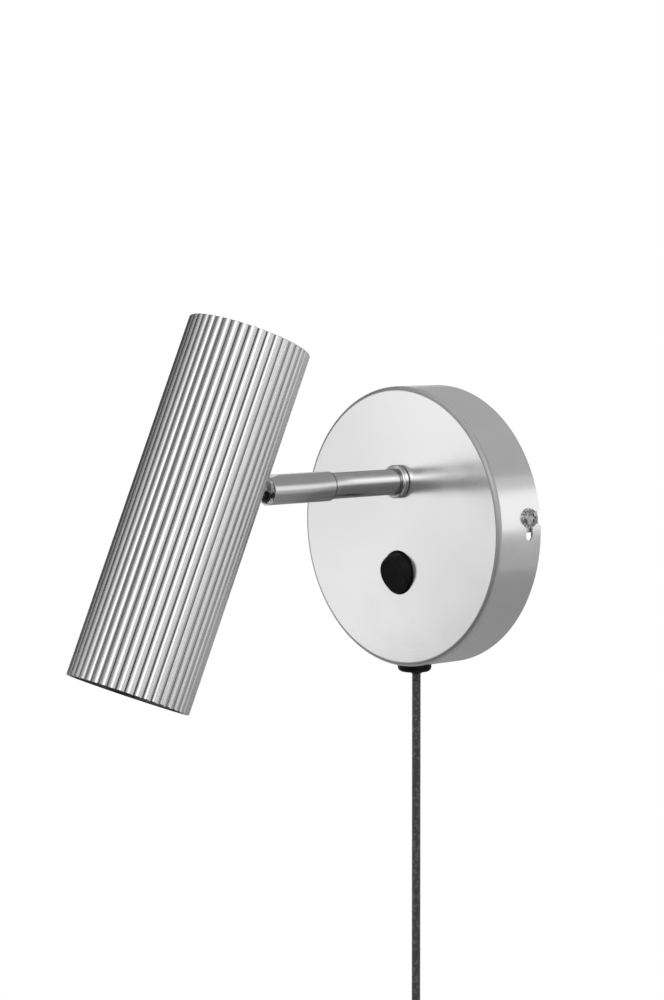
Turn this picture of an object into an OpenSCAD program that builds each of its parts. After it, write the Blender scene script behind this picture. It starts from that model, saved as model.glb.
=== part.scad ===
// Tube wall light: a reeded tube shade on a swivelling arm, with a round wall canopy,
// a rocking push button and a hanging textile cord.
// Millimetres. Z is up, the wall is the plane y = 0, and the light stands out towards -y.
// The origin is the middle of the wall bracket's back face.

/* [Canopy] */
// Outside diameter of the canopy
canopy_d = 120; // [108:1:150]
// How far the canopy stands out from the wall
canopy_depth = 25; // [23:0.5:40]
// Sheet thickness of the canopy
canopy_wall = 1; // [0.8:0.1:1.5]
// Outside rounding of the canopy's front edge
canopy_edge = 1.8; // [1.6:0.1:4]

/* [Wall fixing] */
// Width of the wall bracket's strap
strap_width = 18; // [14:1:24]
// Thickness of the wall bracket
strap_thick = 1.5; // [1:0.1:2.5]
// Distance between the two slots for wall screws
wall_slot_spacing = 60; // [46:1:76]
// Width of a slot for a wall screw
wall_slot_width = 4.5; // [3.5:0.1:6]
// Length of a slot for a wall screw
wall_slot_len = 10; // [7:0.5:14]
// Thread diameter of the two side screws
side_screw_d = 3.5; // [3:0.1:4]
// Distance of the side screws from the wall
side_screw_out = 6.9; // [6:0.1:8]
// Height of the right side screw above the canopy's middle
side_screw_rise = 6.4; // [2:0.2:8]

/* [Arm] */
// Height of the arm above the canopy's middle
arm_height = 19.4; // [17:0.2:26]
// Outside diameter of the fixed arm tube
arm_tube_d = 11; // [10:0.1:12]
// Bore of the arm tube, for the leads
arm_bore_d = 7.2; // [6:0.1:7.6]
// Distance from the canopy's face to the end of the arm sleeve
arm_reach = 74.4; // [66:0.2:110]
// Outside diameter of the turning sleeve
sleeve_d = 12.5; // [12.3:0.1:14]
// Length of the turning sleeve
sleeve_len = 33.9; // [30:0.1:40]
// Outside diameter of the collar at the canopy
collar_d = 14.2; // [13.8:0.1:20]
// Length of the collar along the arm
collar_len = 3.3; // [2.5:0.1:8]

/* [Shade] */
// Diameter of the shade over the reeds
shade_d = 51; // [50:0.5:70]
// Length of the shade
shade_len = 151.5; // [140:0.5:200]
// Wall of the shade under the grooves
shade_wall = 0.9; // [0.7:0.1:1.6]
// Number of reeds round the shade
reed_count = 42; // [36:1:48]
// Rounding radius of one reed
reed_r = 2.3; // [2.2:0.1:3]
// Lean of the shade, its mouth away from the wall, in degrees
shade_tilt = 21.3; // [0:0.1:45]
// Turn of the shade about the arm, in degrees
shade_turn = 4.2; // [-20:0.1:20]
// Distance of the pivot above the middle of the shade
shade_drop = 22.5; // [10:0.5:26]

/* [Push button] */
// Distance of the button below the canopy's middle
button_drop = 19.6; // [19:0.2:24]
// Radius of the button's round flank
button_r = 8.8; // [8:0.1:9.4]
// Distance from the button's pivot to its flat face
button_stand = 4.4; // [3.5:0.1:5.5]
// Lean of the button's face, in degrees
button_tilt = 16; // [0:1:18]

/* [Cord] */
// Diameter of the cord
cord_d = 3.8; // [3.2:0.1:3.9]
// Diameter of the put-away coil at the middle of its turns
coil_middle_d = 45; // [42:1:46]

/* [Hidden] */

// Smoothness of round shapes
$fn = 64;
// How far a cut runs past the face it starts from
over = 1;
// Radial clearance of a running or push fit
fit = 0.05;
// Clearance of a bolt or stud in its hole
slack = 0.1;
// Gap between parts that move past each other
gap = 0.3;

// Canopy
canopy_r = canopy_d / 2;
inside_r = canopy_r - canopy_wall;
inside_out = canopy_depth - canopy_wall;
inside_edge = canopy_edge - canopy_wall;

// Side screws and the slots they sit in
screw_angle = asin(side_screw_rise / canopy_r);
side_screw_r = side_screw_d / 2;
side_head_r = 3.4;
side_head_h = 2.1;
side_head_cap = 0.9;
recess_w = 0.9;
recess_len = 3.6;
recess_depth = 1.1;
washer_r = 4.15;
washer_h = 0.6;
washer_teeth = 16;
tooth_w = 0.5;
tooth_depth = 0.9;
slot_w = side_screw_d + 3 * slack;
slot_mouth_h = 5.4;
slot_fall = 9.4;
slot_corner = 1.5;
ear_w = 12;
ear_past = 5.6;
ear_out = side_screw_out + ear_past;
ear_foot_len = 15;
ear_gap = 0.5;
boss_wall = 1.5;
boss_r = side_screw_r + boss_wall;
boss_h = 2.2;
side_screw_past = 1.5;
strap_end_in = 8;

// Arm
tube_r = arm_tube_d / 2;
arm_bore_r = arm_bore_d / 2;
thread_step = 0.5;
thread_r = tube_r - thread_step;
thread_back = 8;
hole_arm_r = thread_r + slack;
arm_washer_rim = 3.4;
arm_washer_r = thread_r + arm_washer_rim;
arm_washer_h = 1;
arm_nut_rim = 2;
arm_nut_af = 2 * (thread_r + arm_nut_rim);
arm_nut_h = 4;
sleeve_r = sleeve_d / 2;
sleeve_bore_r = tube_r + fit;
sleeve_end = canopy_depth + arm_reach;
sleeve_start = sleeve_end - sleeve_len;
collar_r = collar_d / 2;
collar_edge = 0.9;
collar_lip = 0.35;
collar_groove_w = 0.45;
collar_groove_depth = 0.9;

// Turning joint inside the sleeve
neck_step = 0.9;
neck_r = tube_r - neck_step;
neck_in = 9.7;
neck_start = sleeve_start + neck_in;
friction_h = 0.5;
seat_start = neck_start + friction_h + 2 * fit;
seat_h = 3;
ring_start = seat_start + seat_h + 2 * fit;
ring_h = 0.8;
ring_depth = 0.4;
ring_r = sleeve_bore_r - gap;
neck_past = 1.5;
neck_end = ring_start + ring_h + neck_past;

// Knuckle at the sleeve's end
plug_len = 14;
bevel_run = 6.8;
bevel_drop = 0.8;
lead_hole_r = 2.5;
lead_hole_drop = 2.3;
grommet_r = lead_hole_r - fit;
grommet_wall = 0.9;
grommet_len = 6;
grommet_lip = 0.35;
grommet_lip_h = 0.4;
lead_r = grommet_r - grommet_wall - fit;
pivot_gap = 3.4;
pivot_rise = 2.4;
pivot_out = sleeve_end + pivot_gap;
pivot_r = 1.3;
tongue_right = 1.4;
tongue_thick = 3;
tongue_r = 3.1;
tongue_left = tongue_right - tongue_thick;
pivot_washer_h = 0.5;
pivot_washer_r = 2.8;
shade_tongue_r = tongue_r - slack;
shade_tongue_right = tongue_left - pivot_washer_h - 2 * fit;
shade_tongue_left = shade_tongue_right - tongue_thick;
pivot_head_r = 2.6;
pivot_head_h = 1.6;
pivot_slot_w = 0.6;
pivot_slot_depth = 0.7;

// Shade
shade_r = shade_d / 2;
reed_ring_r = shade_r - reed_r;
reed_half_angle = 180 / reed_count;
groove_r = reed_ring_r * cos(reed_half_angle)
  + sqrt(pow(reed_r, 2) - pow(reed_ring_r * sin(reed_half_angle), 2));
shade_bore_r = groove_r - shade_wall;
foot_thick = 1;
foot_r = 5;
foot_gap = 0.55;
shade_offset = shade_r + foot_thick + foot_gap + tongue_r;
shade_top = shade_len / 2 - shade_drop;
shade_bottom = -shade_len / 2 - shade_drop;
stud_r = 2;
stud_len = 7.4;
stud_hole_r = stud_r + slack;
stud_washer_r = 3.8;
stud_washer_h = 0.8;
stud_nut_af = 7;
stud_nut_h = 2.4;
shade_lead_drop = 8.6;
shade_lead_r = 1.8;
bush_wall = 0.5;
bush_lip = 0.5;
bush_lip_h = 0.5;
bush_in = 0.6;
cap_recess = 2;
cap_thick = 1.2;
cap_skirt = 5;
vent_count = 8;
vent_r = 1.6;
vent_ring_r = 14;

// Lampholder and lamp, on the shade's axis. The leads' points are in the shade's frame.
lamp_lead_r = 0.55;
lamp_lead_apart = 0.6;
lamp_lead_hole = 5;
lamp_lead_in = 3.5;
lamp_lead_mid = [[1.2, 17, -7.6], [2.6, 12, -6.6], [4.1, 7, -6.2], [4.9, 2.6, -7.4]];
tab_w = 10;
bracket_thick = 1.2;
tab_face = sqrt(pow(shade_bore_r, 2) - pow(tab_w / 2, 2)) - fit;
tab_rise = 6.5;
plate_drop = 12.7;
plate_r = 11;
holder_r = 13.5;
holder_h = 20;
holder_edge = 1.2;
holder_top = -plate_drop;
holder_bottom = holder_top - holder_h;
bracket_screw_r = 1.5;
bracket_screw_spread = 8;
bracket_screw_len = 6;
bracket_head_r = 2.8;
bracket_head_h = 1.6;
bracket_slot_w = 0.7;
bracket_slot_depth = 0.8;
pin_spread = 5;
pin_neck_r = 1.55;
pin_head_r = 2.4;
pin_head_h = 3;
pin_len = 7;
pin_hole_depth = 8.5;
lamp_gap = 0.3;
lamp_top = holder_bottom - lamp_gap;
lamp_base_r = 10;
lamp_base_h = 13;
lamp_r = 17.5;
lamp_flare_h = 26;
lamp_rim_h = 5;
lamp_rim_wall = 1.1;
lens_thick = 2;
lens_recess = 0.8;
lamp_bottom = lamp_top - lamp_base_h - lamp_flare_h - lamp_rim_h;

// Push button and its switch
housing_wall = 0.45;
housing_clear = 0.15;
housing_bore_r = button_r + housing_clear;
nose_r = housing_bore_r + housing_wall;
nose_proud = 0.3;
button_hole_r = nose_r + slack;
pivot_in = 1;
button_out = canopy_depth - pivot_in;
housing_rim = 2.6;
housing_r = nose_r + housing_rim;
housing_depth = 11.5;
housing_floor = 1.5;
trunnion_r = 0.9;
trunnion_reach = nose_r - housing_clear;
button_back = 4;
button_tail_r = 2;
button_tail_len = 3.4;
bridge_w = 5;
bridge_h = 0.8;
bridge_len = 11.2;
lug_out = 3;
lug_spread = housing_r + lug_out;
lug_r = 3;
lug_h = 2;
lug_stud_r = 1.25;
lug_stud_len = 6.5;
lug_nut_af = 5;
lug_nut_h = 2;
tab_spread = 5;
tab_blade_w = 4.8;
tab_blade_h = 0.8;
tab_blade_len = 5.5;
tab_foot_h = 0.6;
tab_riser_from = 3.5;
tab_riser_to = 5;
tab_riser_h = 2.1;

// Cord entry and clamp
cord_r = cord_d / 2;
cord_behind_face = 10.8;
cord_out = canopy_depth - cord_behind_face;
gland_behind_face = 9.7;
gland_out = canopy_depth - gland_behind_face;
gland_r = 7.3;
gland_disc_h = 3.1;
gland_edge = 2;
gland_shank_r = 5;
gland_shank_in = 7;
gland_neck_h = 0.9;
gland_neck_wall = 1.3;
gland_neck_tip = 0.5;
gland_neck_r = cord_r + gland_neck_wall;
gland_neck_tip_r = cord_r + gland_neck_tip;
gland_low = -canopy_r - gland_disc_h;
cord_exit = gland_low - gland_neck_h;
gland_nut_af = 13;
gland_nut_h = 3;
gland_nut_low = -sqrt(pow(inside_r, 2) - pow(gland_nut_af / 2 / cos(30), 2));
clamp_w = 18;
clamp_len = 8;
clamp_rise = 8.5;
clamp_low = clamp_rise - canopy_r;
clamp_bar_h = 3;
clamp_nip = 0.8;
clamp_screw_spread = 6;
clamp_screw_r = 1.25;
clamp_screw_len = 7;
clamp_head_r = 2.3;
clamp_head_h = 1.5;
clamp_slot_w = 0.6;
clamp_slot_depth = 0.7;
inlet_past = 2.5;
inlet_top = clamp_low + clamp_len + inlet_past;

// Terminal block
block_x = -33;
block_z = -16;
block_w = 18;
block_len = 17;
block_h = 13;
pole_spread = 4.5;
pole_bore_r = 1.6;
pole_below = 7;
block_screw_r = 1.4;
block_screw_len = 3.4;
block_screw_spread = 4.5;
block_stud_r = 1.5;
block_nut_af = 5.5;
block_nut_h = 2.2;
block_slot_w = 0.5;
block_slot_depth = 0.6;

// Plug
relief_len = 22;
relief_tip_wall = 0.5;
relief_tip_r = cord_r + relief_tip_wall;
relief_base_r = 4.2;
plug_len_body = 30;
plug_w = 35;
plug_thick = 13.7;
plug_neck_w = 13;
plug_neck_thick = 10;
plug_round = 2.4;
plug_pin_spread = 9.5;
plug_pin_r = 2;
plug_pin_len = 19;
plug_sleeve_len = 10;
plug_sleeve_r = 1.9;
plug_core_r = 1.5;
plug_pin_in = 6;

// Core wires, inside the canopy and the arm. The points give x, the depth behind
// the inside of the canopy's face, and z, which the first two count from the cord's end.
// The ends follow the pieces they meet.
core_r = 0.9;
core_sides = 6;
core_apart = 1.2;
core_end = neck_end + core_r;
core_in = 3.5;
pole_depth = pole_below;
block_low = block_z - block_len / 2;
block_top = block_z + block_len / 2;
tab_depth = housing_depth + tab_blade_len + core_r;
arm_start = 9;
cord_depth = inside_out - cord_out;
live_mid = [[-1.2, 9.9, 1.2], [-3.2, 11.3, 2.2], [-8, 12.4, 3], [-20, 11, 3.7], [-27, 7.5, 6]];
neutral_mid = [
  [1.2, 9.9, 1.2], [0.5, 11.8, 2.4], [-5, 14.4, 3], [-16, 15, 3.6], [-30, 14, 4.6], [-36.5, 10, 6.5]
];
to_switch_mid = [[-28.5, 7.5, -5], [-25, 12, -2], [-16, 16, -6], [-8, 18, -13]];
from_switch_mid = [[7.5, 18, -12], [6, 16.5, 0], [3, 15, 12], [1.2, 12.5, 18.2]];
from_block_mid = [[-37, 8, -4], [-30, 12, 4], [-16, 15, 12], [-6, 15, 17.4], [-1.2, 12.5, 19.2]];

// Free cord: straight down from the gland, then a gentle bend into the coil.
// The points are measured from the cord's exit, and the last two come from the coil.
cord_sides = 8;
cord_route = [
  [0, 0, 0], [0, 0, -10], [0, 0, -20], [0, 0, -31], [0, 0, -42], [0, 0, -53], [0, 0, -64],
  [0, 0, -75], [0, 0, -86], [0, 0, -97], [0, 0, -108], [0, 0, -118], [0, 0, -128], [0, 0, -138],
  [0, 0, -146.3], [0.5, 0, -150.4], [2.1, 0, -154.3], [4.7, 0, -157.6]
];

// Put-away coil: four layers, spiralling in and out, a layer further out at each turn back
loop_sides = 6;
loop_rings = 24;
layer_turns = 3;
layer_count = 4;
coil_gap = 0.5;
coil_pitch = cord_d + coil_gap;
coil_start_angle = 30;
coil_steps = 292;
climb_share = 0.25;
coil_drop = 189;
coil_z = cord_exit - coil_drop;
coil_low_r = coil_middle_d / 2 - layer_turns * coil_pitch / 2;
tie_angle = -40;
tie_w = 5;
tie_thick = 1.2;
tie_clear = 0.4;
tie_round = 2;

// Outward: draws its children with z away from the wall and y up.
module outward(out = 0) {
  translate([0, -out, 0]) rotate([90, 0, 0]) children();
}

// The same, on the arm's axis.
module on_arm(out = 0) {
  translate([0, 0, arm_height]) outward(out) children();
}

// The same, turned with the sleeve about the arm's axis.
module on_sleeve(out = 0) {
  translate([0, 0, arm_height]) rotate([0, shade_turn, 0]) outward(out) children();
}

// The frame of the shade at its pivot: x along the pivot, -y towards the shade.
module at_pivot() {
  translate([0, 0, arm_height])
    rotate([0, shade_turn, 0])
      translate([0, -pivot_out, pivot_rise])
        rotate([-shade_tilt, 0, 0]) children();
}

// The frame of the shade's own axis, with z up along it.
module in_shade() {
  at_pivot() translate([0, -shade_offset, 0]) children();
}

// Both sides of the canopy, with x out along a side screw.
module at_sides() {
  for (side = [0, 180]) rotate([0, side - screw_angle, 0]) children();
}

// A cylinder along x, centred on its length at x.
module along_x(r, from, to) {
  translate([from, 0, 0]) rotate([0, 90, 0]) cylinder(r = r, h = to - from);
}

// A ring with its lower face at z = 0.
module ring(outer, inner, h) {
  difference() {
    cylinder(r = outer, h = h);
    translate([0, 0, -over]) cylinder(r = inner, h = h + 2 * over);
  }
}

// A hexagon nut across its flats, with its lower face at z = 0.
module hex_nut(across, bore, h) {
  difference() {
    cylinder(r = across / 2 / cos(30), h = h, $fn = 6);
    translate([0, 0, -over]) cylinder(r = bore, h = h + 2 * over);
  }
}

// A slotted cylinder head screw: the head stands on z = 0 and the shank goes down.
module slotted_screw(shank, len, head, head_h, slot, slot_depth) {
  difference() {
    union() {
      cylinder(r = head, h = head_h);
      translate([0, 0, -len]) cylinder(r = shank, h = len);
    }
    translate([-head, -slot / 2, head_h - slot_depth])
      translate([-over, 0, 0]) cube([2 * head + 2 * over, slot, slot_depth + over]);
  }
}

// A long hole with round ends, centred, for a wall screw.
module wall_slot() {
  half = (wall_slot_len - wall_slot_width) / 2;
  square([2 * half, wall_slot_width], center = true);
  for (x = [-1, 1]) translate([x * half, 0]) circle(r = wall_slot_width / 2);
}

// A turned button with a domed top, its flat side on z = 0.
module domed(r, h, cap) {
  ball_r = (pow(r, 2) + pow(cap, 2)) / (2 * cap);
  rotate_extrude() intersection() {
    square([r, h]);
    translate([0, h - ball_r]) circle(r = ball_r, $fn = 180);
  }
}

// A plate profile with two rounded outer corners, for turned shells.
module shell_profile(r, h, edge) {
  square([r, h - edge]);
  square([r - edge, h]);
  translate([r - edge, h - edge]) circle(r = edge);
}

// A disc with its far rim rounded.
module puck(r, h, edge) {
  rotate_extrude() intersection() {
    square([r, h]);
    shell_profile(r, h, edge);
  }
}

// A rectangle with round corners, centred.
module round_rect(w, h, r) {
  for (x = [-1, 1]) for (y = [-1, 1])
    translate([x * (w / 2 - r), y * (h / 2 - r)]) circle(r = r);
  square([w - 2 * r, h], center = true);
  square([w, h - 2 * r], center = true);
}

function unit(v) = v / norm(v);

// Direction of a path at its point i, between the points before and after.
function heading(path, i) = unit(path[min(i + 1, len(path) - 1)] - path[max(i - 1, 0)]);

// Rings of points round a path. across is a direction that the path never follows.
function ring_points(path, r, sides, across) = [
  for (i = [0:len(path) - 1])
    let (ahead = heading(path, i))
    let (right = unit(cross(ahead, across)))
    let (top = cross(right, ahead))
    for (k = [0:sides - 1])
      path[i] + r * cos(360 * k / sides) * right + r * sin(360 * k / sides) * top
];

// Triangles between the rings, and a fan over each end.
function ring_faces(count, sides) = concat(
  [
    for (i = [0:count - 2]) for (k = [0:sides - 1])
      let (a = i * sides + k)
      let (b = i * sides + (k + 1) % sides)
      for (face = [[a, a + sides, b], [b, a + sides, b + sides]]) face
  ],
  [for (k = [1:sides - 2]) [0, k, k + 1]],
  [for (k = [1:sides - 2]) let (a = (count - 1) * sides) [a, a + k + 1, a + k]]
);

// One closed tube along a path.
module tube(path, r, sides, across) {
  polyhedron(points = ring_points(path, r, sides, across), faces = ring_faces(len(path), sides));
}

// A smooth step from 0 to 1.
function ease(s) = s <= 0 ? 0 : s >= 1 ? 1 : (1 - cos(180 * s)) / 2;

// Turns away from the coil's inner end, in and out by layer, after t turns.
function turns_out(t) =
  t < layer_turns ? layer_turns - t
  : t < 2 * layer_turns ? t - layer_turns
  : t < 3 * layer_turns ? 3 * layer_turns - t
  : t - 3 * layer_turns;

// Layers climbed after t turns: each climb takes the half turn round a turn back.
function layers_up(t) = ease((t - layer_turns + climb_share) / (2 * climb_share))
  + ease((t - 2 * layer_turns + climb_share) / (2 * climb_share))
  + ease((t - 3 * layer_turns + climb_share) / (2 * climb_share));

function coil_radius(t) = coil_low_r + coil_pitch * turns_out(t);

// A point of the coil after t turns: it runs clockwise from the top, seen from the room.
function coil_point(t) =
  let (angle = coil_start_angle + 360 * t)
  [coil_radius(t) * sin(angle), -cord_out - coil_pitch * layers_up(t), coil_z + coil_radius(t) * cos(angle)];

coil_loops = [for (i = [0:coil_steps]) coil_point(i / loop_rings)];
coil_in = [cos(coil_start_angle), 0, -sin(coil_start_angle)];
coil_path = concat(
  [coil_loops[0] - cord_d * coil_in],
  coil_loops,
  [coil_loops[coil_steps] - [0, 0, cord_d]]
);
plug_x = coil_loops[coil_steps][0];
plug_y = coil_loops[coil_steps][1];
plug_top = coil_z - cord_d;

// Least distance between stretches of the coil that lie at least half a turn apart.
function least_gap() = min([
  for (i = [0:coil_steps - loop_rings / 2])
    min([for (j = [i + loop_rings / 2:coil_steps]) norm(coil_loops[i] - coil_loops[j])])
]) - cord_d;

module wall_bracket() {
  color("gainsboro") difference() {
    union() {
      outward() linear_extrude(strap_thick) difference() {
        square([2 * (inside_r - strap_end_in), strap_width], center = true);
        for (x = [-1, 1]) translate([x * wall_slot_spacing / 2, 0]) wall_slot();
      }
      at_sides() {
        translate([inside_r - ear_gap - strap_thick, -ear_out, -ear_w / 2])
          cube([strap_thick, ear_out, ear_w]);
        translate([inside_r - ear_gap - ear_foot_len, -strap_thick, -ear_w / 2])
          cube([ear_foot_len, strap_thick, ear_w]);
        translate([0, -side_screw_out, 0])
          along_x(boss_r, inside_r - ear_gap - strap_thick - boss_h, inside_r - ear_gap - strap_thick / 2);
      }
    }
    at_sides() translate([0, -side_screw_out, 0])
      along_x(side_screw_r + fit, inside_r - boss_h - 2 * strap_thick - over, canopy_r);
  }
}

module side_screws() {
  head_start = canopy_r + washer_h + fit;
  color("dimgray") at_sides() translate([0, -side_screw_out, 0]) difference() {
    union() {
      along_x(side_screw_r, inside_r - ear_gap - strap_thick - boss_h - side_screw_past, head_start + fit);
      translate([head_start, 0, 0]) rotate([0, 90, 0]) domed(side_head_r, side_head_h, side_head_cap);
    }
    for (turn = [0, 90]) rotate([turn, 0, 0])
      translate([head_start + side_head_h - recess_depth, -recess_len / 2, -recess_w / 2])
        cube([recess_depth + over, recess_len, recess_w]);
  }
}

module lock_washers() {
  color("gray") at_sides() translate([canopy_r + fit / 2, -side_screw_out, 0]) rotate([0, 90, 0])
    linear_extrude(washer_h) difference() {
      circle(r = washer_r);
      circle(r = side_screw_r + slack);
      for (i = [0:washer_teeth - 1]) rotate(i * 360 / washer_teeth)
        translate([washer_r - tooth_depth, -tooth_w / 2]) square([tooth_depth + over, tooth_w]);
    }
}

// The slot of one side screw: a mouth open to the wall and a leg that falls from it.
module screw_slot() {
  leg_in = side_screw_out - slot_w / 2;
  leg_out = side_screw_out + slot_w / 2;
  translate([canopy_r - canopy_wall - over, 0, 0]) rotate([90, 0, 90])
    linear_extrude(canopy_wall + 2 * over) mirror([1, 0]) {
      translate([-over, -slot_mouth_h / 2]) square([over + side_screw_out, slot_mouth_h]);
      translate([side_screw_out, 0]) circle(r = slot_mouth_h / 2);
      translate([leg_in, slot_w / 2 - slot_fall]) square([slot_w, slot_fall - slot_w / 2]);
      translate([side_screw_out, slot_w / 2 - slot_fall]) circle(r = slot_w / 2);
      difference() {
        translate([-over, -slot_mouth_h / 2 - slot_corner])
          square([over + slot_corner, slot_corner + over]);
        translate([slot_corner, -slot_mouth_h / 2 - slot_corner]) circle(r = slot_corner);
      }
    }
}

module canopy_cover() {
  color("silver") difference() {
    outward() difference() {
      union() {
        difference() {
          rotate_extrude() shell_profile(canopy_r, canopy_depth, canopy_edge);
          translate([0, 0, -over])
            rotate_extrude() shell_profile(inside_r, inside_out + over, inside_edge);
        }
        for (x = [-1, 1]) translate([x * lug_spread, -button_drop, inside_out - lug_stud_len])
          cylinder(r = lug_stud_r, h = lug_stud_len + canopy_wall / 2);
        translate([block_x, block_z, inside_out - block_h - block_nut_h - over])
          cylinder(r = block_stud_r, h = block_h + block_nut_h + over + canopy_wall / 2);
      }
      translate([0, arm_height, inside_out - over]) cylinder(r = hole_arm_r, h = canopy_wall + 2 * over);
      translate([0, -button_drop, inside_out - over])
        cylinder(r = button_hole_r, h = canopy_wall + 2 * over);
    }
    at_sides() screw_slot();
    translate([0, -gland_out, -canopy_r - over])
      cylinder(r = gland_shank_r + slack, h = canopy_wall + 3 * over);
  }
}

module cord_gland() {
  color("black") difference() {
    union() {
      translate([0, -gland_out, -canopy_r]) rotate([180, 0, 0])
        puck(gland_r, gland_disc_h, gland_edge);
      translate([0, -gland_out, -canopy_r]) cylinder(r = gland_shank_r, h = gland_shank_in);
      translate([0, -cord_out, cord_exit])
        cylinder(r1 = gland_neck_tip_r, r2 = gland_neck_r, h = gland_neck_h + gland_disc_h / 2);
    }
    translate([0, -cord_out, cord_exit - over])
      cylinder(r = cord_r + fit, h = gland_shank_in - cord_exit - canopy_r + 2 * over);
  }
}

module gland_nut() {
  color("dimgray") translate([0, -gland_out, gland_nut_low])
    hex_nut(gland_nut_af, gland_shank_r + fit, gland_nut_h);
}

module cord_inlet() {
  color("dimgray") translate([0, -cord_out, cord_exit]) cylinder(r = cord_r, h = inlet_top - cord_exit);
}

module clamp_base() {
  base_h = inside_out - cord_out - fit;
  color("ivory") difference() {
    translate([-clamp_w / 2, -inside_out, clamp_low]) cube([clamp_w, base_h, clamp_len]);
    translate([0, -cord_out, clamp_low - over]) cylinder(r = cord_r + fit, h = clamp_len + 2 * over);
    for (x = [-1, 1]) translate([x * clamp_screw_spread, 0, clamp_low + clamp_len / 2])
      outward(cord_out - over) cylinder(r = clamp_screw_r + fit, h = clamp_screw_len + over);
  }
}

module cord_clamp() {
  color("ivory") difference() {
    translate([-clamp_w / 2, -cord_out + clamp_nip, clamp_low]) cube([clamp_w, clamp_bar_h, clamp_len]);
    translate([0, -cord_out, clamp_low - over]) cylinder(r = cord_r + fit, h = clamp_len + 2 * over);
    for (x = [-1, 1]) translate([x * clamp_screw_spread, 0, clamp_low + clamp_len / 2])
      outward(cord_out - clamp_nip - clamp_bar_h - over)
        cylinder(r = clamp_screw_r + slack, h = clamp_bar_h + 2 * over);
  }
}

module clamp_screws() {
  color("gray") for (x = [-1, 1]) translate([x * clamp_screw_spread, 0, clamp_low + clamp_len / 2])
    outward(cord_out - clamp_nip - clamp_bar_h) rotate([180, 0, 0])
      slotted_screw(
        clamp_screw_r, clamp_screw_len, clamp_head_r, clamp_head_h, clamp_slot_w, clamp_slot_depth
      );
}

module terminal_block() {
  back = inside_out - block_h;
  color("ivory") difference() {
    translate([block_x, 0, block_z]) outward(back)
      linear_extrude(block_h) square([block_w, block_len], center = true);
    for (side = [-1, 1]) translate([block_x + side * pole_spread, 0, block_z]) {
      translate([0, -(inside_out - pole_below), -block_len / 2 - over])
        cylinder(r = pole_bore_r, h = block_len + 2 * over);
      for (end = [-1, 1]) translate([0, 0, end * block_screw_spread]) outward(back - over)
        cylinder(r = block_screw_r + fit, h = block_h - pole_below + over);
    }
    translate([block_x, 0, block_z]) outward(back - over)
      cylinder(r = block_stud_r + slack, h = block_h + 2 * over);
  }
}

module terminal_screws() {
  color("gray") for (side = [-1, 1]) for (end = [-1, 1])
    translate([block_x + side * pole_spread, 0, block_z + end * block_screw_spread])
      outward(inside_out - block_h + block_screw_len) rotate([180, 0, 0]) difference() {
        cylinder(r = block_screw_r, h = block_screw_len);
        translate([-block_screw_r - over, -block_slot_w / 2, block_screw_len - block_slot_depth])
          cube([2 * block_screw_r + 2 * over, block_slot_w, block_slot_depth + over]);
      }
}

module block_nut() {
  color("gray") translate([block_x, 0, block_z]) outward(inside_out - block_h - block_nut_h)
    hex_nut(block_nut_af, block_stud_r + fit, block_nut_h);
}

// The leads: from the cord to the block, to and from the switch, and out along the arm.
module core_wires() {
  lug = [tab_spread, tab_depth, -button_drop];
  tip = [0, inside_out - core_end, arm_height];
  live_x = block_x + pole_spread;
  neutral_x = block_x - pole_spread;
  start = [0, cord_depth, inlet_top + slack];
  bend = [0, pole_depth, block_low - core_in];
  color("saddlebrown") translate([0, -inside_out, 0]) {
    tube(
      concat(
        [start - [core_apart, 0, 0]], [for (point = live_mid) point + [0, 0, inlet_top]],
        [bend + [live_x, 0, 0], [live_x, pole_depth, block_low + core_in]]
      ),
      core_r, core_sides, [0, 1, 0.2]
    );
    tube(
      concat([[live_x, pole_depth, block_top - core_in]], to_switch_mid, [[-lug[0], lug[1], lug[2]]]),
      core_r, core_sides, [0, 1, 0.2]
    );
    tube(
      concat([lug], from_switch_mid, [[core_apart, arm_start, arm_height], tip + [core_apart, 0, 0]]),
      core_r, core_sides, [1, 0, 0]
    );
  }
  color("steelblue") translate([0, -inside_out, 0]) {
    tube(
      concat(
        [start + [core_apart, 0, 0]], [for (point = neutral_mid) point + [0, 0, inlet_top]],
        [bend + [neutral_x, 0, 0], [neutral_x, pole_depth, block_low + core_in]]
      ),
      core_r, core_sides, [0.2, 1, 0]
    );
    tube(
      concat(
        [[neutral_x, pole_depth, block_top - core_in]], from_block_mid,
        [[-core_apart, arm_start, arm_height], tip - [core_apart, 0, 0]]
      ),
      core_r, core_sides, [0.2, 0.1, 1]
    );
  }
}

module switch_housing() {
  color("black") translate([0, 0, -button_drop]) outward(inside_out - housing_depth) difference() {
    union() {
      cylinder(r = housing_r, h = housing_depth);
      cylinder(r = nose_r, h = housing_depth + canopy_wall + nose_proud);
      for (x = [-1, 1]) translate([x * lug_spread, 0, housing_depth - lug_h]) {
        cylinder(r = lug_r, h = lug_h);
        translate([x > 0 ? -lug_r : 0, -lug_r, 0]) cube([lug_r, 2 * lug_r, lug_h]);
      }
    }
    translate([0, 0, housing_floor])
      cylinder(r = housing_bore_r, h = housing_depth + canopy_wall + over);
    translate([0, 0, housing_depth + canopy_wall - pivot_in])
      along_x(trunnion_r + fit, -trunnion_reach - fit, trunnion_reach + fit);
    for (x = [-1, 1]) {
      translate([x * lug_spread, 0, housing_depth - lug_h - over])
        cylinder(r = lug_stud_r + fit, h = lug_h + 2 * over);
      translate([x * tab_spread - tab_blade_h / 2 - fit, -tab_blade_w / 2 - fit, -over])
        cube([tab_blade_h + 2 * fit, tab_blade_w + 2 * fit, housing_floor + 2 * over]);
    }
  }
}

module switch_nuts() {
  color("gray") for (x = [-1, 1]) translate([x * lug_spread, 0, -button_drop])
    outward(inside_out - lug_h - lug_nut_h) rotate(30) hex_nut(lug_nut_af, lug_stud_r + fit, lug_nut_h);
}

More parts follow.
